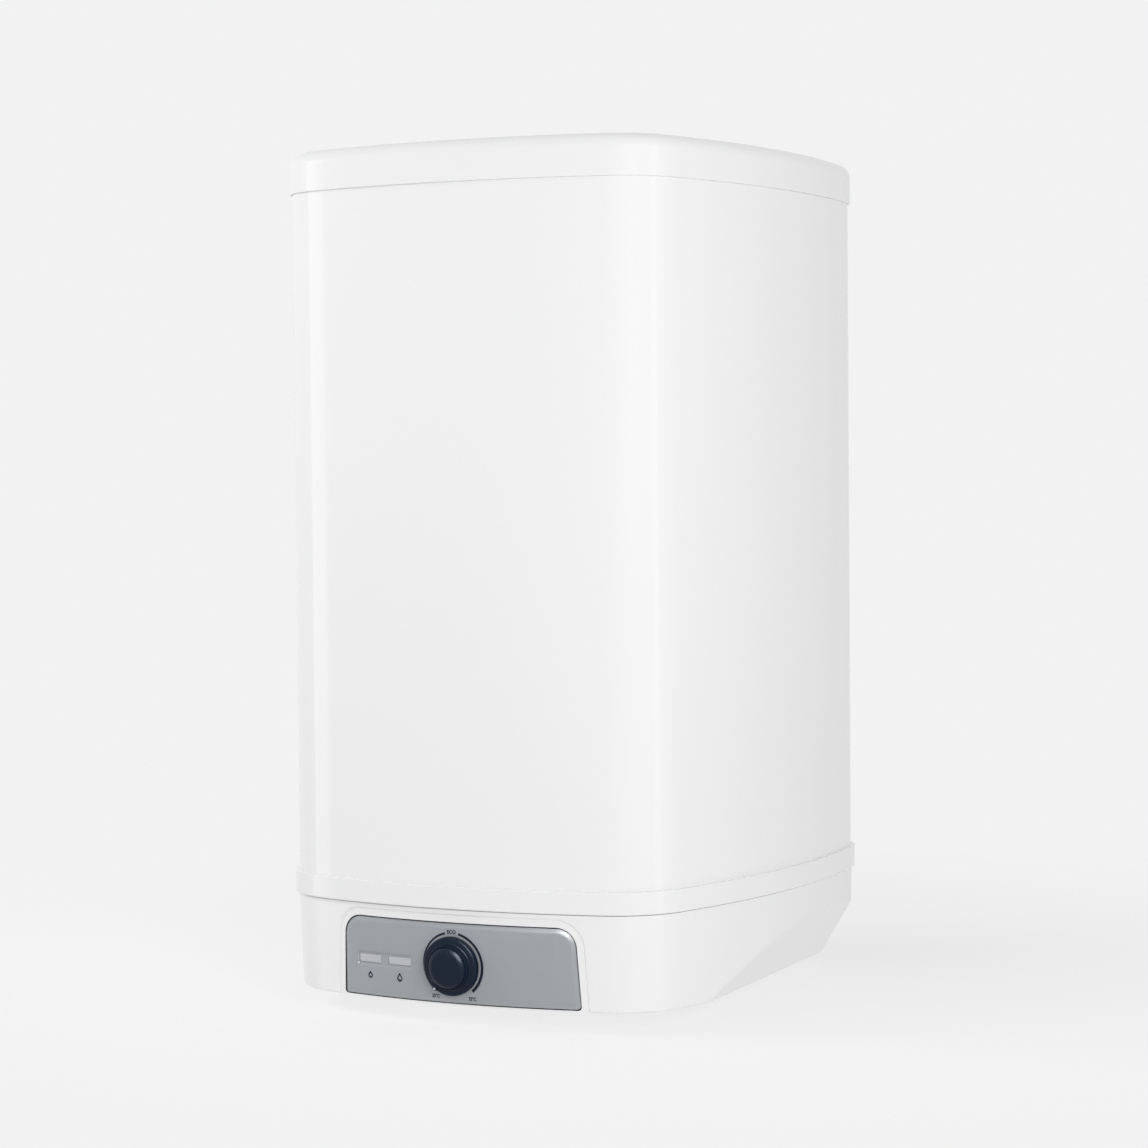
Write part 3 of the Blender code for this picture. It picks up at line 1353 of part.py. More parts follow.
outer_casing()
top_cap()
base_tray()
lower_cover()
control_panel()
lenses()
indicator_board()
temperature_knob()
thermostat_rear = thermostat()
inner_tank()
insulation_foam()
flange_set()
terminal_low = heating_element()
bulb_low = thermostat_pocket()
anode()
cutout_low = safety_cutout()
earth_low = earth_screw()
entry_z = terminal_block()
pipes()
cable_gland()
cover_screws()
wall_bracket()
bracket_channels()
lower_spacer()
wiring(thermostat_rear, terminal_low, bulb_low, cutout_low, earth_low, entry_z)
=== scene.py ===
from math import atan2, cos, degrees, hypot, pi, radians, sin, sqrt, tau
from types import SimpleNamespace as Sizes

import bmesh
import bpy
import numpy as np
from mathutils import Matrix, Vector


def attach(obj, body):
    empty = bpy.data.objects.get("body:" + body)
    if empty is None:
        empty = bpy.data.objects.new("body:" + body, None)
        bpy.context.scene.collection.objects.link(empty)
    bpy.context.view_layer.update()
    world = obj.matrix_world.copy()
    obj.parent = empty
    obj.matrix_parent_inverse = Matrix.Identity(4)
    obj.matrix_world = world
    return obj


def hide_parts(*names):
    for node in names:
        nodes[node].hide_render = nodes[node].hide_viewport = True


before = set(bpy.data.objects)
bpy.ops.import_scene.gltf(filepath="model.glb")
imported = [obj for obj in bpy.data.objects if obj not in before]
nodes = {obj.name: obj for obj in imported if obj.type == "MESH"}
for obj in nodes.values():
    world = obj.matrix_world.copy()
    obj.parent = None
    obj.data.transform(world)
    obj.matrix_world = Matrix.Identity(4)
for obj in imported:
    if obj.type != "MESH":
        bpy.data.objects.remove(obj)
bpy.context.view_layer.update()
print("frame loaded:", len(nodes), "nodes")

# sizes that several pieces share, in metres
body = Sizes(
    width=0.46, depth=0.458, gap=0.01,
    topZ=0.185, capZ=0.1475, casingZ=-0.472, bandZ=-0.4925, coverZ=-0.579,
    frontBow=0.57, sideBow=0.736, widestBehind=0.068,
    frontCorner=0.073, rearCorner=0.0725,
)
backY = -body.gap
frontY = backY - body.depth
centreY = (frontY + backY) / 2
widestY = centreY + body.widestBehind
bandZ, coverZ = body.bandZ, body.coverZ
coverHeight = bandZ - coverZ
# how close two points may be to count as one, how close to a level a point may be to lie on it,
# and how far a cutter runs past what it cuts
mergeDist, levelDist, past = 1e-6, 1e-7, 0.004
cover = Sizes(
    overhang=0.0006, sideDraft=0.0024, frontDraft=0.0028, wall=0.0025, seam=0.0007,
    edgeRound=0.0017, creaseRound=0.001,
    facetOut=0.2156, facetBehind=0.0132, facetBelow=0.0556, facetNormal=(0.855, 0.032, -0.518),
    roundBeforeBack=0.065, roundRadius=0.07, facetFrom=0.08, floorInsets=(0.0008, 0.003),
)
panel = Sizes(
    topWidth=0.233, bottomWidth=0.238, belowBand=0.0125, aboveBottom=0.0016,
    topCorner=0.018, bottomCorner=0.003, setBack=0.0006, thickness=0.0026, shrink=0.0008,
    rimWidth=0.0044, rimDrop=0.0021, rimBow=1.5, flareWidth=0.0084, flareDepth=0.0013,
    flareStep=0.0019, clear=0.0003, mouth=0.0005, shadeFrom=0.0019,
)
panelTop = bandZ - panel.belowBand
ops = bmesh.ops


def bearing(centre, spot):
    return atan2(spot[1] - centre[1], spot[0] - centre[0])


def planArcs():
    # the heater's plan, right half: arcs from the middle of the front round to the back
    front = (0.0, frontY + body.frontBow)
    side = (body.width / 2 - body.sideBow, widestY)
    nearFront, nearSide = body.frontBow - body.frontCorner, body.sideBow - body.frontCorner
    gap = Vector(side) - Vector(front)
    along = (nearFront ** 2 - nearSide ** 2 + gap.length ** 2) / (2 * gap.length)
    rise = sqrt(nearFront ** 2 - along ** 2)
    unit = gap.normalized()
    middle = Vector(front) + unit * along
    corner = min((middle + s * rise * Vector((-unit.y, unit.x)) for s in (1, -1)), key=lambda p: p.y)
    rearY = backY - body.rearCorner
    rear = (side[0] + sqrt((body.sideBow - body.rearCorner) ** 2 - (rearY - widestY) ** 2), rearY)
    turns = [-pi / 2, bearing(front, corner), bearing(side, corner), bearing(side, rear), pi / 2]
    return [(Vector(c), r, turns[i], turns[i + 1]) for i, (c, r) in enumerate((
        (front, body.frontBow), (corner, body.frontCorner),
        (side, body.sideBow), (rear, body.rearCorner)))]


arcs = planArcs()
# steps along each arc, and along the flat back
planSteps = dict(fine=(58, 18, 92, 20, 20), plain=(24, 12, 18, 12, 6))


def drawOn(bm, vert, spot):
    # a new vertex, joined to the last one by an edge
    fresh = ops.extrude_vert_indiv(bm, verts=[vert])["verts"][0]
    fresh.co = spot
    return fresh


def mirrorX(bm, geom):
    ops.mirror(bm, geom=geom, matrix=Matrix.Identity(4), merge_dist=mergeDist, axis="X")


def planRing(bm, offset, level, steps="plain"):
    # one vertex spun round each arc in turn, drawn to the middle of the back, then mirrored
    counts = planSteps[steps]
    end = bm.verts.new((0, frontY - offset, level))
    made = [end]
    for (centre, _, start, stop), count in zip(arcs, counts):
        before = set(bm.verts)
        ops.spin(bm, geom=[end], cent=(centre.x, centre.y, level), axis=(0, 0, 1),
                 angle=stop - start, steps=count)
        fresh = [v for v in bm.verts if v not in before]
        end = max(fresh, key=lambda v: bearing(centre, v.co))
        made += fresh
    width = end.co.x / counts[-1]
    for _ in range(counts[-1]):
        end = drawOn(bm, end, (max(0.0, end.co.x - width), end.co.y, end.co.z))
        made.append(end)
    end.co.x = 0.0
    mirrorX(bm, made + list(dict.fromkeys(e for v in made for e in v.link_edges)))
    ring = [v for v in bm.verts if abs(v.co.z - level) < levelDist]
    return list(dict.fromkeys(e for v in ring for e in v.link_edges
                              if all(abs(w.co.z - level) < levelDist for w in e.verts)))


def planDistance(x, y):
    # signed distance from the casing's plan, for whole arrays of points
    x = np.abs(x)
    best = y - backY
    chosen = np.zeros(x.shape, bool)
    for centre, radius, _, stop in arcs:
        inside = ~chosen & (np.arctan2(y - centre.y, x - centre.x) <= stop)
        best = np.where(inside, np.hypot(x - centre.x, y - centre.y) - radius, best)
        chosen |= inside
    return np.maximum(best, y - backY)


def frontAt(x, z, offset=0.0):
    # where the lower cover's bowed front stands
    share = (bandZ - z) / coverHeight
    grow = cover.overhang - cover.sideDraft * share + offset
    reach = body.frontBow + grow
    y = frontY + body.frontBow - sqrt(max(reach * reach - x * x, 0.0))
    return backY - (backY - y) * (1 - cover.frontDraft * share / body.depth)


# helpers


def vertsOf(items):
    return [item for item in items if isinstance(item, bmesh.types.BMVert)]


def turnOutward(bm):
    ops.recalc_face_normals(bm, faces=bm.faces[:])


def merge(bm, dist):
    ops.remove_doubles(bm, verts=bm.verts[:], dist=dist)


def fillIn(bm, edges):
    return ops.edgeloop_fill(bm, edges=edges)["faces"][0]


def insetFace(bm, face, width):
    ops.inset_region(bm, faces=[face], thickness=width, use_even_offset=True)


def bevelEdges(bm, edges, width, segments):
    ops.bevel(bm, geom=edges, offset=width, segments=segments, profile=0.5, affect="EDGES", material=-1)


def drawBack(bm, faces, depth):
    grown = ops.extrude_face_region(bm, geom=faces)
    ops.translate(bm, verts=vertsOf(grown["geom"]), vec=(0, depth, 0))


def addObject(name, data):
    thing = bpy.data.objects.new(name, data)
    bpy.context.scene.collection.objects.link(thing)
    return thing


def shadeMesh(mesh, smooth):
    mesh.shade_smooth()
    mesh.set_sharp_from_angle(angle=radians(smooth))


def finishMesh(name, bm, mat=None, smooth=32, recalc=True):
    if recalc:
        turnOutward(bm)
    mesh = bpy.data.meshes.new(name)
    bm.to_mesh(mesh)
    bm.free()
    thing = addObject(name, mesh)
    if mat:
        mesh.materials.append(mats[mat])
    shadeMesh(mesh, smooth)
    return thing


def evaluatedMesh(thing):
    bpy.context.view_layer.update()
    return bpy.data.meshes.new_from_object(thing.evaluated_get(bpy.context.evaluated_depsgraph_get()))


def applied(thing, smooth=32):
    # the mesh with its modifiers, put in the modifiers' place
    mesh = evaluatedMesh(thing)
    thing.modifiers.clear()
    thing.data = mesh
    mesh.name = thing.name
    shadeMesh(mesh, smooth)
    return thing


def cutBy(thing, *cutters, operation="DIFFERENCE"):
    for cutter in cutters:
        mod = thing.modifiers.new("cut", "BOOLEAN")
        mod.operation, mod.solver, mod.object = operation, "EXACT", cutter
        if cutter.data.materials:
            mod.material_mode = "TRANSFER"
    applied(thing)
    for cutter in cutters:
        bpy.data.objects.remove(cutter)
    return thing


def place(thing, slot, *stoodFor, carrier="root"):
    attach(thing, carrier)
    if stoodFor:
        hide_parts(*stoodFor)


def facingRight(bm, side):
    # an open sheet has no inside, so its faces are turned by one that is known to face outward
    turnOutward(bm)
    if side(bm) < 0:
        ops.reverse_faces(bm, faces=bm.faces[:])


def thickened(name, bm, mat, thickness):
    thing = finishMesh(name, bm, mat, recalc=False)
    wall = thing.modifiers.new("wall", "SOLIDIFY")
    wall.thickness, wall.offset, wall.use_even_offset = thickness, -1.0, True
    return applied(thing)


def rod(name, radius, start, stop, x, other, lying=False):
    # an upright rod at x and y, or one that lies front to back at x and z
    middle = (start + stop) / 2
    spot = Matrix.Translation((x, middle, other) if lying else (x, other, middle))
    turn = Matrix.Rotation(pi / 2, 4, "X") if lying else Matrix.Identity(4)
    bm = bmesh.new()
    ops.create_cone(bm, cap_ends=True, segments=40, radius1=radius, radius2=radius,
                    depth=stop - start, matrix=spot @ turn)
    return finishMesh(name, bm)


# materials


def feed(tree, socket, value):
    if isinstance(value, bpy.types.NodeSocket):
        tree.links.new(value, socket)
    else:
        socket.default_value = value


def addNode(tree, kind, *values, **settings):
    # values go to the inputs in order, settings to inputs or to the node itself by name
    made = tree.nodes.new("ShaderNode" + kind)
    for key, value in settings.items():
        if key in made.inputs.keys():
            feed(tree, made.inputs[key], value)
        else:
            setattr(made, key, value)
    for socket, value in zip(made.inputs, values):
        feed(tree, socket, value)
    return made


def maths(tree, operation, *values, vector=False, answer=0, **settings):
    kind = "VectorMath" if vector else "Math"
    return addNode(tree, kind, *values, operation=operation, **settings).outputs[answer]


def makeFinishGroup():
    # fine relief and a slow drift of tone, read from Object coordinates
    group = bpy.data.node_groups.new("surfaceFinish", "ShaderNodeTree")
    for way, kind, labels in (
            ("INPUT", "Color", ("Colour",)),
            ("INPUT", "Float", ("Drift", "Roughness", "Roughness Drift", "Grain Scale", "Grain Height")),
            ("OUTPUT", "Color", ("Colour",)), ("OUTPUT", "Float", ("Roughness",)),
            ("OUTPUT", "Vector", ("Normal",))):
        for label in labels:
            group.interface.new_socket(name=label, in_out=way, socket_type="NodeSocket" + kind)
    given = group.nodes.new("NodeGroupInput").outputs
    result = group.nodes.new("NodeGroupOutput").inputs
    where = addNode(group, "TexCoord").outputs["Object"]
    slow = addNode(group, "TexNoise", Vector=where, Scale=7.0, Detail=3.0, Roughness=0.55)
    fine = addNode(group, "TexNoise", Vector=where, Scale=given["Grain Scale"], Detail=2.0, Roughness=0.5)
    drift = maths(group, "SUBTRACT", slow.outputs["Fac"], 0.5)
    tone = maths(group, "MULTIPLY_ADD", drift, given["Drift"], 1.0)
    feed(group, result["Colour"], maths(group, "SCALE", given["Colour"], vector=True, Scale=tone))
    feed(group, result["Roughness"],
         maths(group, "MULTIPLY_ADD", drift, given["Roughness Drift"], given["Roughness"]))
    bump = addNode(group, "Bump", Strength=1.0, Distance=given["Grain Height"], Height=fine.outputs["Fac"])
    feed(group, result["Normal"], bump.outputs["Normal"])
    return group


finishGroup = makeFinishGroup()
mats = {}


def finish(name, colour, roughness, metallic=0.0, drift=0.02, roughDrift=0.05, grain=900.0,
           height=1e-5, specular=None):
    mat = bpy.data.materials.new(name)
    mat.use_nodes = True
    tree = mat.node_tree
    shader = tree.nodes["Principled BSDF"].inputs
    shader["Metallic"].default_value = metallic
    if specular is not None:
        shader["Specular IOR Level"].default_value = specular
    group = tree.nodes.new("ShaderNodeGroup")
    group.node_tree = finishGroup
    for label, value in (("Colour", (*colour, 1)), ("Drift", drift), ("Roughness", roughness),
                         ("Roughness Drift", roughDrift), ("Grain Scale", grain), ("Grain Height", height)):
        group.inputs[label].default_value = value
    for source, target in (("Colour", "Base Color"), ("Roughness", "Roughness"), ("Normal", "Normal")):
        tree.links.new(group.outputs[source], shader[target])
    mat.diffuse_color = (*colour, 1)
    mats[name] = mat


# what shows from outside
finish("whiteEnamel", (0.86, 0.86, 0.862), 0.07, drift=0.006, roughDrift=0.02, grain=260, height=6e-6)
finish("glossPlastic", (0.853, 0.853, 0.857), 0.12, drift=0.006, roughDrift=0.03, grain=1100, height=3e-6)
finish("whitePlastic", (0.86, 0.86, 0.865), 0.3, drift=0.008, grain=1400, height=4e-6)
finish("greyPanel", (0.325, 0.34, 0.362), 0.34, grain=1600, height=8e-6)
finish("darkBluePlastic", (0.004, 0.011, 0.026), 0.3, drift=0.05, grain=1800, height=6e-6, specular=0.16)
finish("lensPlastic", (0.48, 0.49, 0.51), 0.13, drift=0.03, grain=700, height=8e-6, specular=0.7)
# painted shade: a near-black colour for the walls of the gap round the panel, where shade falls
finish("gapShade", (0.035, 0.036, 0.038), 0.7, drift=0.05, specular=0.2)
finish("printBlue", (0.01, 0.016, 0.034), 0.5, drift=0.05, specular=0.15)
finish("printWhite", (0.44, 0.45, 0.47), 0.5, specular=0.3)
finish("zincSteel", (0.62, 0.62, 0.61), 0.33, 1.0, drift=0.15, roughDrift=0.25, grain=380, height=2e-5)
finish("blackPlastic", (0.03, 0.03, 0.032), 0.42, drift=0.1, grain=1500)
finish("greyPlastic", (0.36, 0.365, 0.37), 0.45, drift=0.05, grain=1500)
finish("redPlastic", (0.55, 0.03, 0.02), 0.36, drift=0.06)
finish("bluePlastic", (0.02, 0.1, 0.45), 0.36, drift=0.06)
# what lies inside
finish("tankEnamel", (0.09, 0.12, 0.19), 0.28, drift=0.15, grain=300, height=2e-5)
finish("foam", (0.8, 0.71, 0.45), 0.9, drift=0.25, grain=350, height=0.0004)
finish("plainSteel", (0.45, 0.45, 0.46), 0.38, 1.0, drift=0.12, roughDrift=0.2, grain=500)
finish("copper", (0.72, 0.36, 0.24), 0.28, 1.0, drift=0.2, roughDrift=0.2)
finish("brass", (0.72, 0.55, 0.25), 0.3, 1.0, drift=0.1)
finish("magnesium", (0.5, 0.5, 0.51), 0.55, 1.0, drift=0.2, roughDrift=0.3)
finish("blackRubber", (0.02, 0.02, 0.02), 0.8, drift=0.2, height=4e-5)
finish("creamPlastic", (0.7, 0.66, 0.55), 0.45)
finish("boardGreen", (0.03, 0.18, 0.07), 0.42, drift=0.15)
finish("brownWire", (0.16, 0.06, 0.03), 0.48, drift=0.1)
finish("blueWire", (0.02, 0.08, 0.38), 0.48, drift=0.1)
finish("earthWire", (0.42, 0.5, 0.04), 0.48, drift=0.1)

# nodes shown as the CAD has them, by material
carried = dict(
    tankEnamel="inner_tank", foam="insulation_foam",
    plainSteel="flange_ring left_bracket_channel right_bracket_channel",
    zincSteel="flange_plate flange_bolt_1 flange_bolt_2 flange_bolt_3 flange_bolt_4 flange_bolt_5 "
              "anode_bolt left_thermostat_screw right_thermostat_screw thermostat_bracket "
              "thermostat_shaft hot_riser_tube",
    copper="heating_element thermostat_pocket sensor_bulb capillary_tube",
    brass="earth_screw", magnesium="anode_rod", blackRubber="flange_gasket lamp_lead",
    blackPlastic="safety_cutout terminal_block gland_locknut",
    creamPlastic="thermostat_body", greyPlastic="inlet_diffuser", redPlastic="reset_button",
    boardGreen="indicator_board", lensPlastic="power_lamp heating_lamp",
    brownWire="live_wire heater_wire", blueWire="neutral_wire cutout_wire", earthWire="earth_wire",
)
for label, members in carried.items():
    for member in members.split():
        nodes[member].data.materials.clear()
        nodes[member].data.materials.append(mats[label])
print("materials made:", len(mats))

# casing, cap and band

shells = Sizes(
    capOverhang=0.0024, bandOverhang=0.0038, casingWall=0.0008, capWall=0.0025,
    capRound=0.013, bandRound=0.0017, edgeSoft=0.0006, capOverlap=0.008, clear=0.0003,
    floor=0.0025, beside=0.0003, hollowIn=0.0012, hollowRound=0.011, wellIn=0.0002,
    wideRound=0.002, wideSteps=10, narrowSteps=4,
)


def raiseRing(bm, edges, height):
    grown = ops.extrude_edge_only(bm, edges=edges)
    upper = vertsOf(grown["geom"])
    ops.translate(bm, verts=upper, vec=(0, 0, height))
    members = set(upper)
    return [e for e in grown["geom"]
            if isinstance(e, bmesh.types.BMEdge) and all(v in members for v in e.verts)]


def planBlock(name, offset, low, high, lowRound=0.0, highRound=0.0, mat=None, steps="plain"):
    bm = bmesh.new()
    rim = planRing(bm, offset, low, steps)
    ends = [(low, lowRound, fillIn(bm, rim))]
    beside = shells.beside
    levels = [low + lowRound + beside] if lowRound else []
    levels += [high - highRound - beside, high] if highRound else [high]
    edges, here = rim, low
    for level in levels:
        edges = raiseRing(bm, edges, level - here)
        here = level
    ends.append((high, highRound, fillIn(bm, edges)))
    turnOutward(bm)
    for level, radius, end in ends:
        if radius:
            # rings beside the rounded edge keep the flat faces' shading flat
            insetFace(bm, end, radius + beside)
            edge = [e for e in bm.edges if all(abs(v.co.z - level) < mergeDist for v in e.verts)
                    and any(abs(f.normal.z) < 0.1 for f in e.link_faces)]
            count = shells.wideSteps if radius > shells.wideRound else shells.narrowSteps
            bevelEdges(bm, edge, radius, count)
    return finishMesh(name, bm, mat)


def makeCasing():
    bm = bmesh.new()
    low = bandZ + shells.floor + shells.clear
    high = body.capZ + shells.capOverlap - shells.clear
    raiseRing(bm, planRing(bm, 0.0, low, "fine"), high - low)
    facingRight(bm, lambda b: max(b.faces, key=lambda f: f.calc_center_median().x).normal.x)
    place(thickened("casing", bm, "whiteEnamel", shells.casingWall), "white_enamel", "outer_casing")


def makeCap():
    low = body.capZ
    cap = planBlock("topCap", shells.capOverhang, low, body.topZ, shells.edgeSoft,
                    shells.capRound, "glossPlastic", "fine")
    hollow = planBlock("hollow", -shells.hollowIn, low - past, body.topZ - shells.capWall, 0,
                       shells.hollowRound)
    rebate = planBlock("rebate", shells.clear, low - past, low + shells.capOverlap)
    place(cutBy(cap, hollow, rebate), "white_plastic", "top_cap")


def makeBand():
    tray = planBlock("bandTray", shells.bandOverhang, bandZ, body.casingZ, shells.bandRound,
                     shells.edgeSoft, "glossPlastic", "fine")
    well = planBlock("well", -shells.wellIn, bandZ + shells.floor, body.casingZ + past, steps="fine")
    place(cutBy(tray, well), "white_plastic", "base_tray")


makeCasing()
makeCap()
makeBand()
print("casing, cap and band made")

# lower cover


def roundPlate(bm, topWidth, bottomWidth, low, high, lowCorner, topCorner, depth, steps=8, centre=0.0):
    # an upright plate outline in X and Z: one vertex spun round each corner, mirrored and filled
    end = bm.verts.new((0, depth, low))
    end = drawOn(bm, end, (bottomWidth / 2 - lowCorner, depth, low))
    for x, z, radius in ((bottomWidth / 2 - lowCorner, low + lowCorner, lowCorner),
                         (topWidth / 2 - topCorner, high - topCorner, topCorner)):
        if (end.co - Vector((x, depth, z - radius))).length > mergeDist:
            end = drawOn(bm, end, (x + radius, depth, z))
        made = ops.spin(bm, geom=[end], cent=(x, depth, z), axis=(0, -1, 0), angle=pi / 2, steps=steps)
        end = vertsOf(made["geom_last"])[0]
    drawOn(bm, end, (0.0, end.co.y, end.co.z))
    mirrorX(bm, bm.verts[:] + bm.edges[:])
    face = fillIn(bm, bm.edges[:])
    ops.translate(bm, verts=bm.verts[:], vec=(centre, 0, 0))
    if face.normal.y > 0:
        face.normal_flip()
    return face


def panelFace(bm, grow, depth, steps=8):
    return roundPlate(bm, panel.topWidth + 2 * grow, panel.bottomWidth + 2 * grow,
                      coverZ + panel.aboveBottom - grow, panelTop + grow,
                      panel.bottomCorner + max(grow, 0), panel.topCorner + grow, depth, steps)


def thicken(bm, face, depth):
    # draws a flat face back into a block; its front stays where it was
    drawBack(bm, [face], depth)
    turnOutward(bm)


def bend(bm, step=0.004):
    # slices a flat piece upright and lays it on the cover's bowed, leaning front
    ops.triangulate(bm, faces=bm.faces[:])
    low = min(v.co.x for v in bm.verts)
    high = max(v.co.x for v in bm.verts)
    count = int((high - low) / step)
    for i in range(1, count):
        ops.bisect_plane(bm, geom=bm.verts[:] + bm.edges[:] + bm.faces[:], dist=mergeDist,
                         plane_co=(low + (high - low) * i / count, 0, 0), plane_no=(1, 0, 0))
    for v in bm.verts:
        v.co.y += frontAt(v.co.x, v.co.z)


def rounded(a, b, radius):
    return (np.minimum(np.maximum(a, b), -radius)
            + np.hypot(np.maximum(a + radius, 0), np.maximum(b + radius, 0)))


def coverForm(spots, inset):
    # how far points stand outside the cover, its edges and facets rounded off
    x, y, z = np.abs(spots[:, 0]), spots[:, 1], spots[:, 2]
    share = (bandZ - z) / coverHeight
    squeeze = 1 - cover.frontDraft * share / body.depth
    wall = (planDistance(x, backY - (backY - y) / squeeze)
            - (cover.overhang - inset - cover.sideDraft * share))
    across, rearward, up = cover.facetNormal
    turn, lean = atan2(rearward, across), -up / across
    low = coverZ - past
    spotY = centreY + cover.facetBehind
    roundY = backY - cover.roundBeforeBack
    roundX = (cover.facetOut - lean * (bandZ - cover.facetBelow - low)
              - rearward / across * (roundY - spotY))
    radius = cover.roundRadius
    cx, cy = roundX - radius * cos(turn), roundY - radius * sin(turn)
    qx, qy = x - lean * (z - low) - cx, y - cy
    onRound = -qx * sin(turn) + qy * cos(turn) > 0
    flat = qx * cos(turn) + qy * sin(turn) - radius
    ahead = np.maximum(qx, 0)
    reach = np.hypot(ahead, qy)
    nx = np.where(onRound, ahead / np.maximum(reach, 1e-9), cos(turn))
    facet = np.where(onRound, reach - radius, flat) / np.sqrt(1 + (lean * nx) ** 2) + inset
    # the middle of the cover has no facet, so every point there lies well behind it
    facet = np.where(x > cover.facetFrom, facet, -0.1)
    floor = coverZ + inset - z
    return rounded(rounded(wall, facet, cover.creaseRound), floor, cover.edgeRound)


def layOnForm(bm, inset):
    # each point goes out from a centre beside it to the cover's form, found by halving
    sideFrom, sideCentre, behind, farthest, halvings = 0.14, 0.1, 0.02, 1.08, 44
    spots = np.array([v.co for v in bm.verts])
    centres = spots.copy()
    centres[:, 0] = np.where(np.abs(spots[:, 0]) > sideFrom, np.sign(spots[:, 0]) * sideCentre, 0.0)
    centres[:, 1] = centreY + behind
    near, far = np.zeros(len(spots)), np.full(len(spots), farthest)
    for _ in range(halvings):
        middle = (near + far) / 2
        inside = coverForm(centres + (spots - centres) * middle[:, None], inset) < levelDist
        near, far = np.where(inside, middle, near), np.where(inside, far, middle)
    for v, spot in zip(bm.verts, centres + (spots - centres) * near[:, None]):
        v.co = spot


def coverBlock(name, inset, top, steps, rows, mat=None):
    # a ring drawn down in rows, each point then laid on the cover's form, and the floor filled
    bm = bmesh.new()
    floor = coverZ + inset
    edges, here = planRing(bm, 0.0, top, steps), top
    fillIn(bm, edges)
    for i in range(rows - 1, -1, -1):
        # closer together near the floor, where the edge is round
        level = floor + (top - floor) * (i / rows) ** 1.25
        edges = raiseRing(bm, edges, level - here)
        here = level
    layOnForm(bm, inset)
    last = fillIn(bm, edges)
    turnOutward(bm)
    for width in cover.floorInsets:
        insetFace(bm, last, width)
    return finishMesh(name, bm, mat, smooth=50)


def steppedBlock(outline, profile):
    # a solid through one outline at several depths, each grown by its own amount
    bm = bmesh.new()
    loops = []
    for depth, grow in profile:
        part = bmesh.new()
        outline(part, grow, depth)
        mesh = bpy.data.meshes.new("part")
        part.to_mesh(mesh)
        part.free()
        before = set(bm.edges)
        bm.from_mesh(mesh)
        bpy.data.meshes.remove(mesh)
        loops.append([e for e in bm.edges if e not in before])
    ops.delete(bm, geom=bm.faces[:], context="FACES_ONLY")
    for first, second in zip(loops, loops[1:]):
        ops.bridge_loops(bm, edges=first + second)
    for end in (loops[0], loops[-1]):
        fillIn(bm, end)
    turnOutward(bm)
    return bm


def easeSteps(count=8):
    # shares of the way along and of the depth reached, for a soft step down
    return [(i / count, 0.5 - 0.5 * cos(pi * i / count)) for i in range(count + 1)]


def bentCutter(name, outline, profile, step=0.008, mat=None):
    bm = steppedBlock(outline, profile)
    bend(bm, step)
    return finishMesh(name, bm, mat)


def flareFace(bm, grow, depth):
    # the shallow dish round the panel runs out through the cover's lower edge
    return roundPlate(bm, panel.topWidth + 2 * grow, panel.bottomWidth + 0.001 + 2 * grow,
                      coverZ - 0.012, panelTop + grow, 0.001, panel.topCorner + grow, depth, steps=12)


under = Sizes(
    pipeX=0.05, pipeY=centreY + 0.095, pipeRadius=0.01048, pipeBore=0.0075,
    pipeTop=-0.4482, pipeLow=-0.597, pitch=0.001814, threadDeep=0.0011, threadLong=0.0145,
    edge=0.0006, collarHole=0.0138, glandX=0.095, glandY=centreY + 0.105,
    glandHole=0.0103, screwX=0.15, screwY=centreY - 0.06, screwHole=0.0023, below=0.0003,
)


def makeCover():
    outer = coverBlock("lowerCover", 0.0, bandZ - cover.seam, "fine", 36, "whitePlastic")
    hollow = coverBlock("hollow", cover.wall, bandZ + past, "plain", 10)
    wall, clear, start, mouth = cover.wall, panel.clear, panel.flareDepth, panel.mouth
    deep = panel.setBack + panel.thickness + clear
    cutBy(hollow, bentCutter("backing", panelFace, [(-2 * past, wall), (deep + wall, wall)]))
    # the pocket's mouth is rounded where it meets the dished edge
    steps = [(start + mouth * (1 - cos(a)), clear + mouth * (1 - sin(a)))
             for a in (0.0, 0.3, 0.6, 0.95, 1.25, pi / 2)]
    pocket = bentCutter("pocket", panelFace,
                        [(-0.006, clear + mouth)] + steps + [(panel.shadeFrom, clear)])
    # cutters overlap by a hair, so that no two of their faces coincide
    hair = 0.00003
    dish = [(-past, panel.flareWidth + 0.0002)] + [
        (start * ease - hair * (1 - share), panel.flareWidth - panel.flareStep * share)
        for share, ease in easeSteps()]
    flare = bentCutter("flare", flareFace, dish, 0.005)
    # painted shade: below its mouth the gap round the panel is coloured near black, standing in for the
    # shade deep in the gap
    shade = bentCutter("shade", panelFace, [(start + 0.0003, clear - hair), (deep, clear - hair)],
                       mat="gapShade")
    cutBy(outer, hollow, flare, pocket, shade)
    spots = [(under.collarHole, side * under.pipeX, under.pipeY) for side in (-1, 1)]
    spots += [(under.screwHole, side * under.screwX, under.screwY) for side in (-1, 1)]
    spots.append((under.glandHole, under.glandX, under.glandY))
    floor = coverZ - past
    holes = [rod("hole", wide, floor, floor + 3 * past, x, y) for wide, x, y in spots]
    place(cutBy(outer, *holes), "white_plastic", "lower_cover")


makeCover()
print("lower cover made")

# control panel, indicator windows and printed marks
lens = Sizes(
    belowBand=0.0511, width=0.0245, height=0.0075, corner=0.0012,
    centres=(-0.0885, -0.056), recess=0.0012, setBack=0.0006, margin=0.0016,
    above=0.00225, clear=0.0003, recessSoft=0.0014, edgeWidth=0.0019, edgeDrop=0.0009,
    recessCorner=0.0024,
)
lensZ = bandZ - lens.belowBand
marks = Sizes(
    ringRadius=0.0303, thin=0.0012, thick=0.0028, end=140.0, gap=13.0, proud=0.00005,
    deep=0.00012, textHigh=0.0037, iconBelow=0.0662,
)
knobZ = bandZ - 0.0508
printFront, printDepth = panel.setBack - marks.proud, marks.proud + marks.deep


def cornerReach(px, pz, corner):
    # how far inside an edge a point lies, given how far it is past the middle of its round corner
    return corner - (hypot(px, pz) if px > 0 and pz > 0 else max(px, pz))


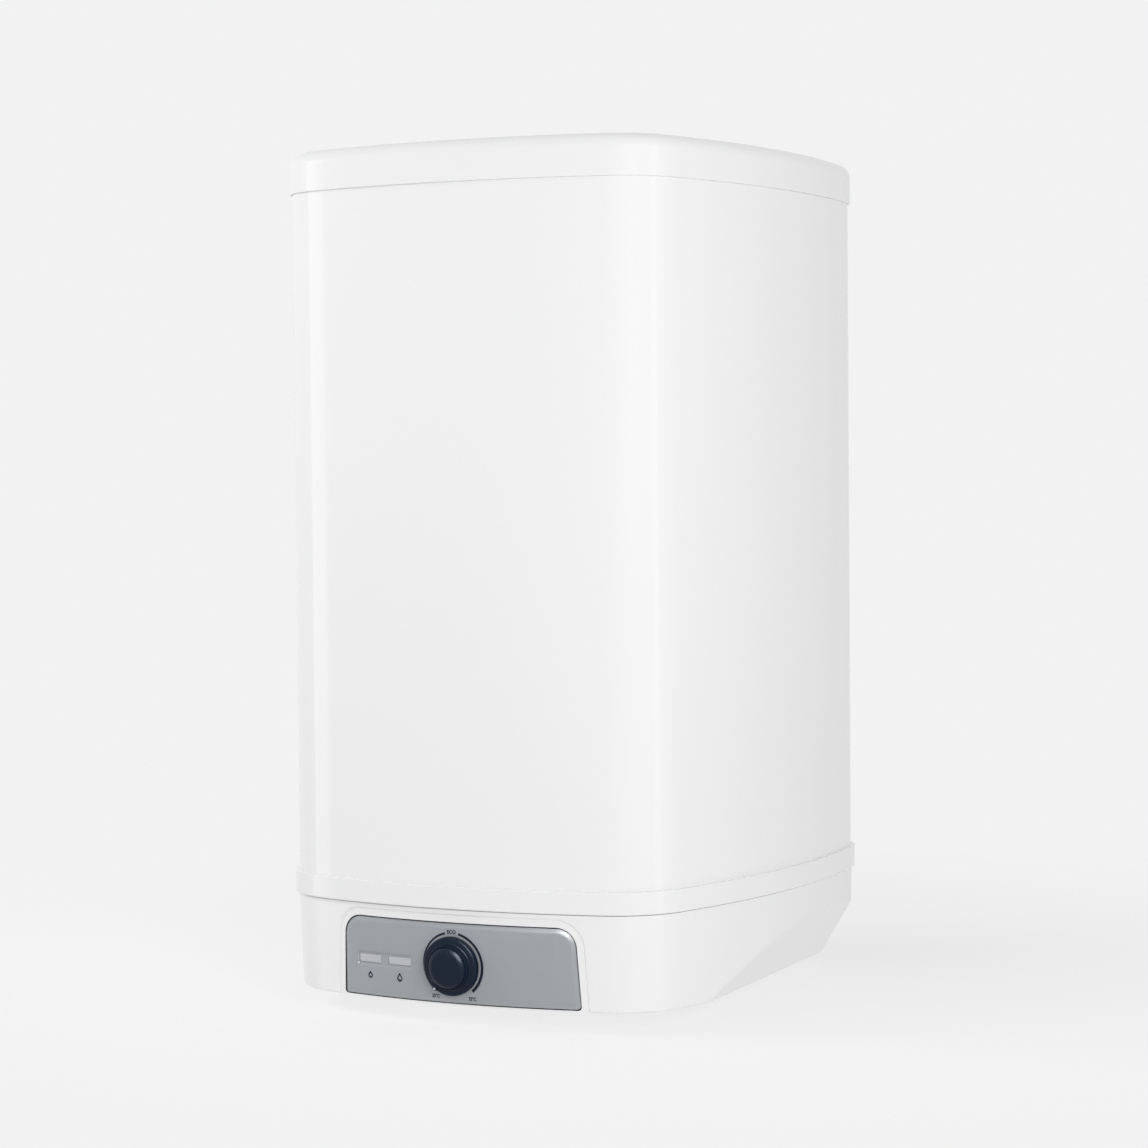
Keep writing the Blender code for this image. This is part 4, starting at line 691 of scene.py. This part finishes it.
def panelReach(x, z):
    # only the panel's sides and top roll over
    half = panel.bottomWidth / 2 + ((panel.topWidth - panel.bottomWidth) / 2
                                    * (z - coverZ) / coverHeight)
    corner = panel.topCorner
    return cornerReach(abs(x) - (half - corner), z - (panelTop - corner), corner) - panel.shrink


def lensFace(bm, centre, grow, depth):
    wide, high = lens.width + 2 * grow, lens.height / 2 + grow
    corner = lens.corner + max(grow, 0)
    return roundPlate(bm, wide, wide, lensZ - high, lensZ + high, corner, corner, depth, steps=5,
                      centre=centre)


def lensReach(x, z, centre):
    corner = lens.corner
    return cornerReach(abs(x - centre) - (lens.width / 2 - corner),
                       abs(z - lensZ) - (lens.height / 2 - corner), corner)


def rollEdge(bm, start, corner, width, drop, reach, rings=10, bow=2.0):
    # rings set in from the edge of a plate's front, then drawn back towards the edge
    front = min(bm.faces, key=lambda f: f.calc_center_median().y)
    # closer together near the edge, where the roll is steepest
    marksIn = [width * (1 - cos(pi / 2 * (i + 1) / rings)) for i in range(rings)]
    done, closed = 0.0, False
    for mark in marksIn:
        if mark >= corner and not closed:
            # a small corner closes to a point here, and its vertices become one
            almost = corner - 0.00008
            insetFace(bm, front, almost - done)
            done, closed = almost, True
            ops.remove_doubles(bm, verts=list(front.verts), dist=0.00018)
            front = max(bm.faces, key=lambda f: f.calc_area() if f.normal.y < -0.5 else 0)
        insetFace(bm, front, mark - done)
        done = mark
    for v in bm.verts:
        if v.co.y < start + 0.0002:
            near = 1 - min(max(reach(v.co.x, v.co.z) / width, 0), 1)
            v.co.y += drop * near ** bow


def makePanel():
    bm = bmesh.new()
    thicken(bm, panelFace(bm, -panel.shrink, panel.setBack, 14), panel.thickness)
    rollEdge(bm, panel.setBack, panel.bottomCorner, panel.rimWidth, panel.rimDrop, panelReach,
             bow=panel.rimBow)
    thing = finishMesh("controlPanel", bm, "greyPanel")
    left, right = lens.centres
    half = (right - left + lens.width) / 2 + lens.margin
    rise = lens.height / 2 + lens.above

    def recess(b, grow, depth):
        corner, wide = lens.recessCorner + grow, 2 * (half + grow)
        return roundPlate(b, wide, wide, lensZ - rise - grow, lensZ + rise + grow, corner, corner, depth,
                          centre=(left + right) / 2)

    # the recess rolls down from the face and out again on to its floor
    soft = lens.recessSoft
    profile = [(-past, soft / 2)] + [(panel.setBack + lens.recess * ease, soft * (0.5 - share))
                                     for share, ease in easeSteps()]
    cutters = [finishMesh("recess", steppedBlock(recess, profile))]
    for centre in lens.centres:
        window = steppedBlock(lambda b, grow, depth: lensFace(b, centre, grow, depth),
                              [(-past, lens.clear / 2), (2 * past, lens.clear / 2)])
        cutters.append(finishMesh("window", window))
    bm = bmesh.new()
    wide, high, corner = 0.044, 0.006, 0.0055
    thicken(bm, roundPlate(bm, wide, wide, knobZ - high, knobZ + high, corner, corner, -past), 3 * past)
    cutters.append(finishMesh("shaftHole", bm))
    cutBy(thing, *cutters)
    bm = bmesh.new()
    bm.from_mesh(thing.data)
    bend(bm)
    bm.to_mesh(thing.data)
    bm.free()
    place(applied(thing, 50), "grey_panel", "control_panel")


def makeLenses():
    start = panel.setBack + lens.setBack
    for label, centre in zip(("power", "heating"), lens.centres):
        bm = bmesh.new()
        thicken(bm, lensFace(bm, centre, 0.0, start), panel.thickness - lens.setBack)
        rollEdge(bm, start, lens.corner, lens.edgeWidth, lens.edgeDrop,
                 lambda x, z: lensReach(x, z, centre), rings=7)
        bend(bm, 0.003)
        place(finishMesh(label + "Lens", bm, "lensPlastic", 50), "clear_lens", label + "_lens")


def printed(name, bm, step=0.003):
    # flat faces given their depth, sliced and laid on the panel
    drawBack(bm, bm.faces[:], printDepth)
    bend(bm, step)
    place(finishMesh(name, bm, "printBlue", 30), "dark_blue_plastic")


def makeScale():
    # a strip spun round the knob's axis, its inner edge set by the width at each bearing from the top
    end, radius = marks.end, marks.ringRadius
    guide = radius - 0.002
    for name, start, stop in (("scaleCooler", -end, -marks.gap), ("scaleHotter", marks.gap, end)):
        bm = bmesh.new()
        first, last = radians(start), radians(stop)
        pair = [bm.verts.new((r * sin(first), printFront, knobZ + r * cos(first)))
                for r in (radius, guide)]
        ops.spin(bm, geom=pair + [bm.edges.new(pair)], cent=(0, printFront, knobZ), axis=(0, 1, 0),
                 angle=last - first, steps=40)
        for v in bm.verts:
            way = Vector((v.co.x, 0, v.co.z - knobZ))
            if way.length < (radius + guide) / 2:
                share = (degrees(atan2(way.x, way.z)) + end) / (2 * end)
                wide = marks.thin + (marks.thick - marks.thin) * share
                v.co = Vector((0, v.co.y, knobZ)) + way.normalized() * (radius - wide)
        printed(name, bm)


def makeText(name, words, x, z, squeeze):
    curve = bpy.data.curves.new(name, "FONT")
    curve.body, curve.align_x, curve.align_y = words, "CENTER", "CENTER"
    curve.resolution_u, curve.offset = 4, 0.04
    guide = addObject(name + "Guide", curve)
    mesh = evaluatedMesh(guide)
    bpy.data.objects.remove(guide)
    bm = bmesh.new()
    bm.from_mesh(mesh)
    merge(bm, 1e-5)
    low = Vector([min(v.co[i] for v in bm.verts) for i in range(3)])
    top = Vector([max(v.co[i] for v in bm.verts) for i in range(3)])
    scale = marks.textHigh / (top.y - low.y)
    for v in bm.verts:
        v.co = Vector((x + (v.co.x - (low.x + top.x) / 2) * scale * squeeze, printFront,
                       z + (v.co.y - (low.y + top.y) / 2) * scale))
    printed(name, bm, 0.002)


def dropRing(x, z, radius, tall, width):
    # a ring drawn up to a point at its top
    pinch, pinchBow, lift, liftBow = 0.62, 2.2, 0.55, 2.6
    bm = bmesh.new()
    ops.create_circle(bm, cap_ends=True, segments=32, radius=radius, matrix=Matrix.Rotation(pi / 2, 4, "X"))
    for v in bm.verts:
        up = max(v.co.z, 0) / radius
        v.co.x *= 1 - pinch * up ** pinchBow
        v.co.z += tall * radius * lift * up ** liftBow
        v.co += Vector((x, printFront, z))
    bm.normal_update()
    ops.inset_region(bm, faces=bm.faces[:1], thickness=width, use_boundary=True, use_even_offset=True)
    inner = max(bm.faces, key=lambda f: len(f.verts))
    ops.delete(bm, geom=[inner], context="FACES_ONLY")
    return bm


def makePrints():
    makeScale()
    for name, words, turn, reach, squeeze in (
            ("markEco", "ECO", 0.0, 0.0302, 0.92), ("markLow", "35°C", -147.0, 0.0337, 0.8),
            ("markHigh", "75°C", 147.5, 0.0342, 0.8)):
        a = radians(turn)
        makeText(name, words, reach * sin(a), knobZ + reach * cos(a), squeeze)
    left, right = lens.centres
    iconZ = bandZ - marks.iconBelow
    printed("powerIcon", dropRing(left, iconZ, 0.0026, 0.9, 0.0013))
    printed("waterIcon", dropRing(right, iconZ - 0.0004, 0.0029, 1.5, 0.0012))
    # a small wave inside the drop
    bm = bmesh.new()
    step, low, swing = 0.0004, iconZ - 0.0012, 0.0004
    end = bm.verts.new((right - 4 * step, printFront, low))
    for i in range(8):
        end = drawOn(bm, end, (end.co.x + step, printFront, low + swing * sin((i + 1) / 8 * tau)))
    raiseRing(bm, bm.edges[:], -0.0013)
    printed("waveIcon", bm)


makePanel()
makeLenses()
makePrints()
print("control panel, windows and marks made")

# temperature knob
knob = Sizes(
    steps=96, start=-143.0, pointerWide=0.0046, pointerFrom=0.0192, pointerTo=0.0262,
    pointerLow=0.0045, pointerTop=0.0082, pointerSoft=0.0005,
    markDeep=0.0018, markWide=0.0026, markHigh=0.0022, markProud=0.00006, markSoft=0.0002,
    # radius and height pairs in millimetres, from the middle of the face round to the shaft's socket
    profile=[(0, 14.4), (10, 14.44), (12.7, 14.5), (13.4, 14.46), (14.2, 14.32), (15.1, 14.03),
             (16.0, 13.62), (16.9, 13.05), (17.6, 12.5), (18.05, 12.0), (18.3, 11.5), (18.42, 10.95),
             (18.6, 10.65), (18.85, 10.75), (19.05, 11.15), (19.3, 11.35), (19.55, 11.25),
             (19.75, 10.9), (19.9, 10.2), (20.3, 8.7), (20.42, 8.2), (20.6, 7.7), (20.85, 7.3),
             (21.2, 7.04), (21.7, 6.92), (22.4, 6.84), (24.4, 6.5), (25.3, 6.3), (25.8, 6.05),
             (26.15, 5.65), (26.35, 5.1), (26.45, 4.4), (26.5, 3.4), (26.5, 1.0), (26.2, 0.7),
             (24.1, 0.7), (24.1, 3.3), (6.0, 3.3), (6.0, 0.7), (3.3, 0.7), (3.3, 9.2), (0, 9.2)],
)
slope = atan2(frontAt(0, coverZ) - frontAt(0, bandZ), coverHeight)
knobFrame = (Matrix.Translation((0, frontAt(0, knobZ, -panel.setBack), knobZ))
             @ Matrix.Rotation(pi / 2 + slope, 4, "X"))


def lathe(name, profile, steps, matrix, mat, closed=False, unit=1.0):
    bm = bmesh.new()
    spots = [bm.verts.new((r * unit, 0, h * unit)) for r, h in profile]
    for first, second in zip(spots, spots[1:] + (spots[:1] if closed else [])):
        bm.edges.new((first, second))
    ops.spin(bm, geom=bm.verts[:] + bm.edges[:], cent=(0, 0, 0), axis=(0, 0, 1), angle=tau,
             steps=steps, use_merge=True)
    merge(bm, mergeDist)
    ops.transform(bm, matrix=matrix, verts=bm.verts[:])
    return finishMesh(name, bm, mat, 35)


def block(name, size, centre, matrix, mat=None, soft=0.0, segments=3):
    bm = bmesh.new()
    ops.create_cube(bm, size=1.0)
    ops.scale(bm, vec=size, verts=bm.verts[:])
    if soft:
        bevelEdges(bm, bm.edges[:], soft, segments)
    ops.translate(bm, verts=bm.verts[:], vec=centre)
    ops.transform(bm, matrix=matrix, verts=bm.verts[:])
    return finishMesh(name, bm, mat, 35)


def makeKnob():
    thing = lathe("temperatureKnob", knob.profile, knob.steps, knobFrame, "darkBluePlastic", unit=0.001)
    turned = knobFrame @ Matrix.Rotation(-radians(knob.start), 4, "Z")
    low, top = knob.pointerLow, knob.pointerTop
    long = knob.pointerTo - knob.pointerFrom
    rib = block("pointer", (knob.pointerWide, long, top - low),
                (0, knob.pointerFrom + long / 2, (top + low) / 2), turned, soft=knob.pointerSoft)
    cutBy(thing, rib, operation="UNION")
    place(thing, "dark_blue_plastic", "temperature_knob", carrier="knob")
    mark = block("pointerMark", (knob.markWide, knob.markDeep, knob.markHigh),
                 (0, knob.pointerTo - knob.markDeep / 2 - knob.markSoft,
                  top - knob.markHigh / 2 + knob.markProud),
                 turned, "printWhite", knob.markSoft, 2)
    place(mark, "white_plastic", carrier="knob")


makeKnob()
print("knob made")

# underside: pipe stubs, collars, gland and screws


def makePipes(floor):
    low, radius, edge = under.pipeLow, under.pipeRadius, under.edge
    root, bore, pitch = radius - under.threadDeep, under.pipeBore, under.pitch
    stub = [(bore, under.pipeTop), (bore, low + edge), (bore + edge, low), (radius - 0.0016, low),
            (root, low + edge)]
    level = low + 2 * edge
    while level < low + under.threadLong:
        stub += [(root, level), (radius, level + 0.42 * pitch), (radius, level + 0.58 * pitch)]
        level += pitch
    stub += [(root, level), (radius, level + 0.001), (radius, under.pipeTop)]
    ring = [(0.0135, floor + 0.006), (0.0135, floor), (0.0176, floor), (0.018, floor - 0.0004),
            (0.018, floor - 0.0022), (0.0172, floor - 0.003), (0.0112, floor - 0.003),
            (0.01078, floor - 0.0026), (0.01078, floor + 0.006)]
    for side, kind, tone, node in ((-1, "hot", "red", "hot_outlet_pipe"),
                                   (1, "cold", "blue", "cold_inlet_pipe")):
        spot = Matrix.Translation((side * under.pipeX, under.pipeY, 0))
        place(lathe(kind + "Stub", stub, 48, spot, "zincSteel", True), "zinc_steel", node)
        place(lathe(kind + "Collar", ring, 56, spot, tone + "Plastic", True), tone + "_plastic",
              kind + "_collar")


def makeGland(floor):
    top, wide, steps = coverZ + cover.wall + 0.0051, 0.013, 72
    # how far down the hexagon, the ribbed nut and its cone end
    hexDeep, nutDeep, coneDeep = 0.0036, 0.004, 0.0112
    profile = [(0.01, top), (0.01, floor), (wide, floor), (wide, floor - hexDeep),
               (0.0124, floor - nutDeep), (0.0124, floor - 0.0098), (0.0118, floor - coneDeep),
               (0.0105, floor - 0.0136), (0.0095, floor - 0.0155), (0.0085, floor - 0.016),
               (0.0056, floor - 0.016), (0.005, floor - 0.0154), (0.005, top)]
    thing = lathe("cableGland", profile, steps, Matrix.Identity(4), "blackPlastic", True)
    hair = 0.0001
    for v in thing.data.vertices:
        x, y, z = v.co
        reach = hypot(x, y)
        turn = atan2(y, x)
        if floor - coneDeep < z < floor - nutDeep + hair and reach > 0.0115:
            v.co *= 1 - 0.035 * (round(turn / tau * steps) % 3 == 0)
            v.co.z = z
        elif floor - hexDeep - hair < z < floor + hair and reach > 0.0125:
            flat = 0.0113 / max(cos((turn + pi / 6) % (pi / 3) - pi / 6), 0.1)
            v.co.x, v.co.y = x / reach * min(flat, wide), y / reach * min(flat, wide)
    thing.data.transform(Matrix.Translation((under.glandX, under.glandY, 0)))
    place(applied(thing, 28), "black_plastic", "cable_gland")


def makeCoverScrews(floor):
    head = [(0, floor - 0.0024), (0.002, floor - 0.00232), (0.0034, floor - 0.0018),
            (0.0041, floor - 0.0009), (0.0042, floor), (0.002, floor), (0.002, floor + 0.017),
            (0, floor + 0.0182)]
    armLong, armWide, armHigh = 0.0038, 0.0008, 0.0024
    for side, label in ((-1, "left"), (1, "right")):
        spot = Matrix.Translation((side * under.screwX, under.screwY, 0))
        thing = lathe(label + "CoverScrew", head, 40, spot, "zincSteel")
        for size in ((armWide, armLong, armHigh), (armLong, armWide, armHigh)):
            cutBy(thing, block("slot", size, (0, 0, floor - armHigh), spot))
        place(thing, "zinc_steel", label + "_cover_screw")


for makePiece in (makePipes, makeGland, makeCoverScrews):
    makePiece(coverZ - under.below)
print("underside made")

# back: wall bracket, its bolts and the lower spacer
back = Sizes(
    plate=0.0025, web=0.13, foot=0.06, high=0.06, slotX=0.04, slotWide=0.014,
    slotHigh=0.026, boltHole=0.0043, spacerZ=-0.4, spacerWeb=0.09, spacerFoot=0.034,
    spacerHigh=0.04, spacerHoleX=0.025, spacerHole=0.0035, soft=0.0005, boltSoft=0.0004,
    peg=0.0035, pegFront=-0.0257, pegRear=-0.0086,
)


def hatPlate(name, web, foot, high, level, mat):
    bm = bmesh.new()
    footY = backY + 0.0003 + back.plate
    fold = body.gap / 2
    spots = [bm.verts.new((x, y, level - high / 2)) for x, y in (
        (-web / 2 - foot, footY), (-web / 2, footY), (-web / 2 + fold, 0), (web / 2 - fold, 0),
        (web / 2, footY), (web / 2 + foot, footY))]
    raiseRing(bm, [bm.edges.new(pair) for pair in zip(spots, spots[1:])], high)
    facingRight(bm, lambda b: sum(f.normal.y for f in b.faces))
    return thickened(name, bm, mat, back.plate)


def holeBack(radius, x, z):
    return rod("hole", radius, -3 * past, past, x, z, lying=True)


def softEdges(thing, width):
    mod = thing.modifiers.new("soft", "BEVEL")
    mod.width, mod.segments, mod.limit_method = width, 3, "ANGLE"
    mod.angle_limit = radians(35)
    return applied(thing)


def makeBack():
    plate = hatPlate("wallBracket", back.web, back.foot, back.high, 0.0, "zincSteel")
    holes = []
    wide, high = back.slotWide, back.slotHigh / 2
    for side in (-1, 1):
        bm = bmesh.new()
        thicken(bm, roundPlate(bm, wide, wide, -high, high, wide / 2 - 1e-5, wide / 2 - 1e-5, -3 * past,
                               steps=12, centre=side * back.slotX), 4 * past)
        holes.append(finishMesh("slot", bm))
        holes.append(holeBack(back.boltHole, side * (back.web + back.foot) / 2, 0.0))
    place(softEdges(cutBy(plate, *holes), back.soft), "zinc_steel", "wall_bracket")
    level = back.spacerZ
    spacer = hatPlate("lowerSpacer", back.spacerWeb, back.spacerFoot, back.spacerHigh, level,
                      "greyPlastic")
    cutBy(spacer, *[holeBack(back.spacerHole, side * back.spacerHoleX, level) for side in (-1, 1)])
    pegs = [rod("peg", back.peg, back.pegFront, back.pegRear,
                side * (back.spacerWeb + back.spacerFoot) / 2, level, lying=True) for side in (-1, 1)]
    cutBy(spacer, *pegs, operation="UNION")
    place(softEdges(spacer, back.soft), "grey_plastic", "lower_spacer")
    for label in ("left", "right"):
        # a copy of the bolt's own shape with its edges taken off
        node = label + "_bracket_bolt"
        bm = bmesh.new()
        bm.from_mesh(nodes[node].data)
        merge(bm, 1e-5)
        ops.dissolve_limit(bm, angle_limit=radians(1), verts=bm.verts[:], edges=bm.edges[:])
        bolt = finishMesh(label + "BracketBolt", bm, "zincSteel", recalc=False)
        place(softEdges(bolt, back.boltSoft), "zinc_steel", node)


makeBack()
print("back made")

# camera, light and surroundings

view = Sizes(
    lens=95.43, sensor=36.0, spot=(1.2847, -2.8185, -0.0981), way=(-0.4423, 0.8961, -0.037),
    up=(-0.0087, 0.037, 0.9993),
)


def makeCamera():
    data = bpy.data.cameras.new("photoCamera")
    data.lens, data.sensor_width = view.lens, view.sensor
    data.clip_start, data.clip_end = 0.05, 60.0
    camera = addObject("photoCamera", data)
    rearward = -Vector(view.way).normalized()
    right = Vector(view.up).cross(rearward).normalized()
    turn = Matrix((right, rearward.cross(right), rearward)).transposed().to_4x4()
    camera.matrix_world = Matrix.Translation(view.spot) @ turn
    bpy.context.scene.camera = camera


def makeLamp(name, spot, target, size, power, gives, spread=180.0, receivers=()):
    data = bpy.data.lights.new(name, "AREA")
    data.shape = "RECTANGLE"
    data.size, data.size_y = size
    data.energy, data.spread = power, radians(spread)
    lamp = addObject(name, data)
    lamp.location = spot
    lamp.visible_diffuse, lamp.visible_glossy = gives == "light", gives == "gleam"
    lamp.rotation_mode = "QUATERNION"
    lamp.rotation_quaternion = (Vector(target) - Vector(spot)).to_track_quat("-Z", "Y")
    if receivers:
        lit = bpy.data.collections.new(name + "Lit")
        for receiver in receivers:
            lit.objects.link(bpy.data.objects[receiver])
        lamp.light_linking.receiver_collection = lit


# name, place, aim, size, power and what it gives: soft light, or only the gleam in glossy surfaces;
# then its spread, and the pieces it lights where that isn't all of them
lamps = [
    ("rightLight", (1.6, -1.7, 0.1), (0.0, -0.24, -0.15), (0.7, 0.7), 17.2, "light"),
    ("leftLight", (-1.6, -0.9, 0.5), (0.0, -0.24, -0.15), (0.7, 0.7), 13.0, "light"),
    ("rightStrip", (1.572, -0.633, -0.25), (0.18, -0.42, -0.25), (0.22, 1.9), 0.85, "gleam"),
    ("leftStrip", (-1.4, -1.02, -0.25), (-0.14, -0.45, -0.25), (0.4, 1.9), 2.5, "gleam"),
    ("knobSoft", (0.31, -1.06, -0.09), (0.0, -0.47, -0.54), (0.6, 0.6), 4.4, "gleam", 70.0,
     ("temperatureKnob", "pointerMark", "controlPanel", "powerLens", "heatingLens")),
]
studio = Sizes(
    background=0.888, worldLow=0.452, worldRise=0.118, brightWay=(0.0, -1.0, 0.0),
    worldUp=0.2, worldDown=0.5, floorZ=-0.5975, floorSize=14.0, floorTone=0.95,
    floorGlow=0.94, glowShare=0.5, shadeReach=(0.45, 1.1),
)


def emptyTree(owner):
    owner.use_nodes = True
    owner.node_tree.nodes.clear()
    return owner.node_tree


def mixed(tree, share, *shaders):
    return addNode(tree, "MixShader", share, *shaders).outputs[0]


def glowing(tree, kind, strength):
    return addNode(tree, kind, Color=(1, 1, 1, 1), Strength=strength).outputs[0]


def seenDirectly(tree):
    # one for rays from the camera, mirrored or through glass
    path = addNode(tree, "LightPath").outputs
    found = path["Is Camera Ray"]
    for label in ("Is Glossy Ray", "Is Transmission Ray"):
        found = maths(tree, "MAXIMUM", found, path[label])
    return found


def makeWorld():
    world = bpy.data.worlds.new("studio")
    bpy.context.scene.world = world
    tree = emptyTree(world)
    where = addNode(tree, "TexCoord").outputs["Generated"]
    toward = maths(tree, "DOT_PRODUCT", where, studio.brightWay, vector=True, answer="Value")
    total = maths(tree, "MULTIPLY_ADD", maths(tree, "MAXIMUM", toward, 0.0), studio.worldRise,
                  studio.worldLow)
    # and a little more from straight above and below
    height = addNode(tree, "SeparateXYZ", where).outputs["Z"]
    for share in (studio.worldUp, -studio.worldDown):
        more = maths(tree, "MAXIMUM", maths(tree, "MULTIPLY", height, share), 0.0)
        total = maths(tree, "ADD", total, more)
    kind = "Background"
    backdrop = mixed(tree, seenDirectly(tree), glowing(tree, kind, total),
                     glowing(tree, kind, studio.background))
    addNode(tree, "OutputWorld", backdrop)


def makeFloor():
    bm = bmesh.new()
    ops.create_grid(bm, x_segments=4, y_segments=4, size=studio.floorSize)
    ops.translate(bm, verts=bm.verts[:], vec=(0, 0, studio.floorZ))
    mats["paleFloor"] = bpy.data.materials.new("paleFloor")
    tree = emptyTree(mats["paleFloor"])
    seen = seenDirectly(tree)
    matte = addNode(tree, "BsdfDiffuse", (*(studio.floorTone,) * 3, 1)).outputs[0]
    near = mixed(tree, maths(tree, "MULTIPLY", seen, studio.glowShare), matte,
                 glowing(tree, "Emission", studio.floorGlow))
    # away from the heater the floor takes the plain tone of the backdrop
    where = addNode(tree, "TexCoord").outputs["Object"]
    reach = maths(tree, "LENGTH", where, vector=True, answer="Value")
    fade = addNode(tree, "MapRange", reach, *studio.shadeReach, interpolation_type="SMOOTHSTEP")
    shown = mixed(tree, maths(tree, "MULTIPLY", fade.outputs["Result"], seen), near,
                  glowing(tree, "Emission", studio.background))
    # seen from below it is clear, so that the underside shows
    below = addNode(tree, "NewGeometry").outputs["Backfacing"]
    clear = addNode(tree, "BsdfTransparent").outputs[0]
    addNode(tree, "OutputMaterial", mixed(tree, below, shown, clear))
    floor = finishMesh("floor", bm, "paleFloor", recalc=False)
    floor.visible_diffuse = floor.visible_glossy = False


makeCamera()
makeWorld()
makeFloor()
for lampSettings in lamps:
    makeLamp(*lampSettings)
bpy.context.scene.view_settings.view_transform = "Standard"
print("camera, lamps and floor made")
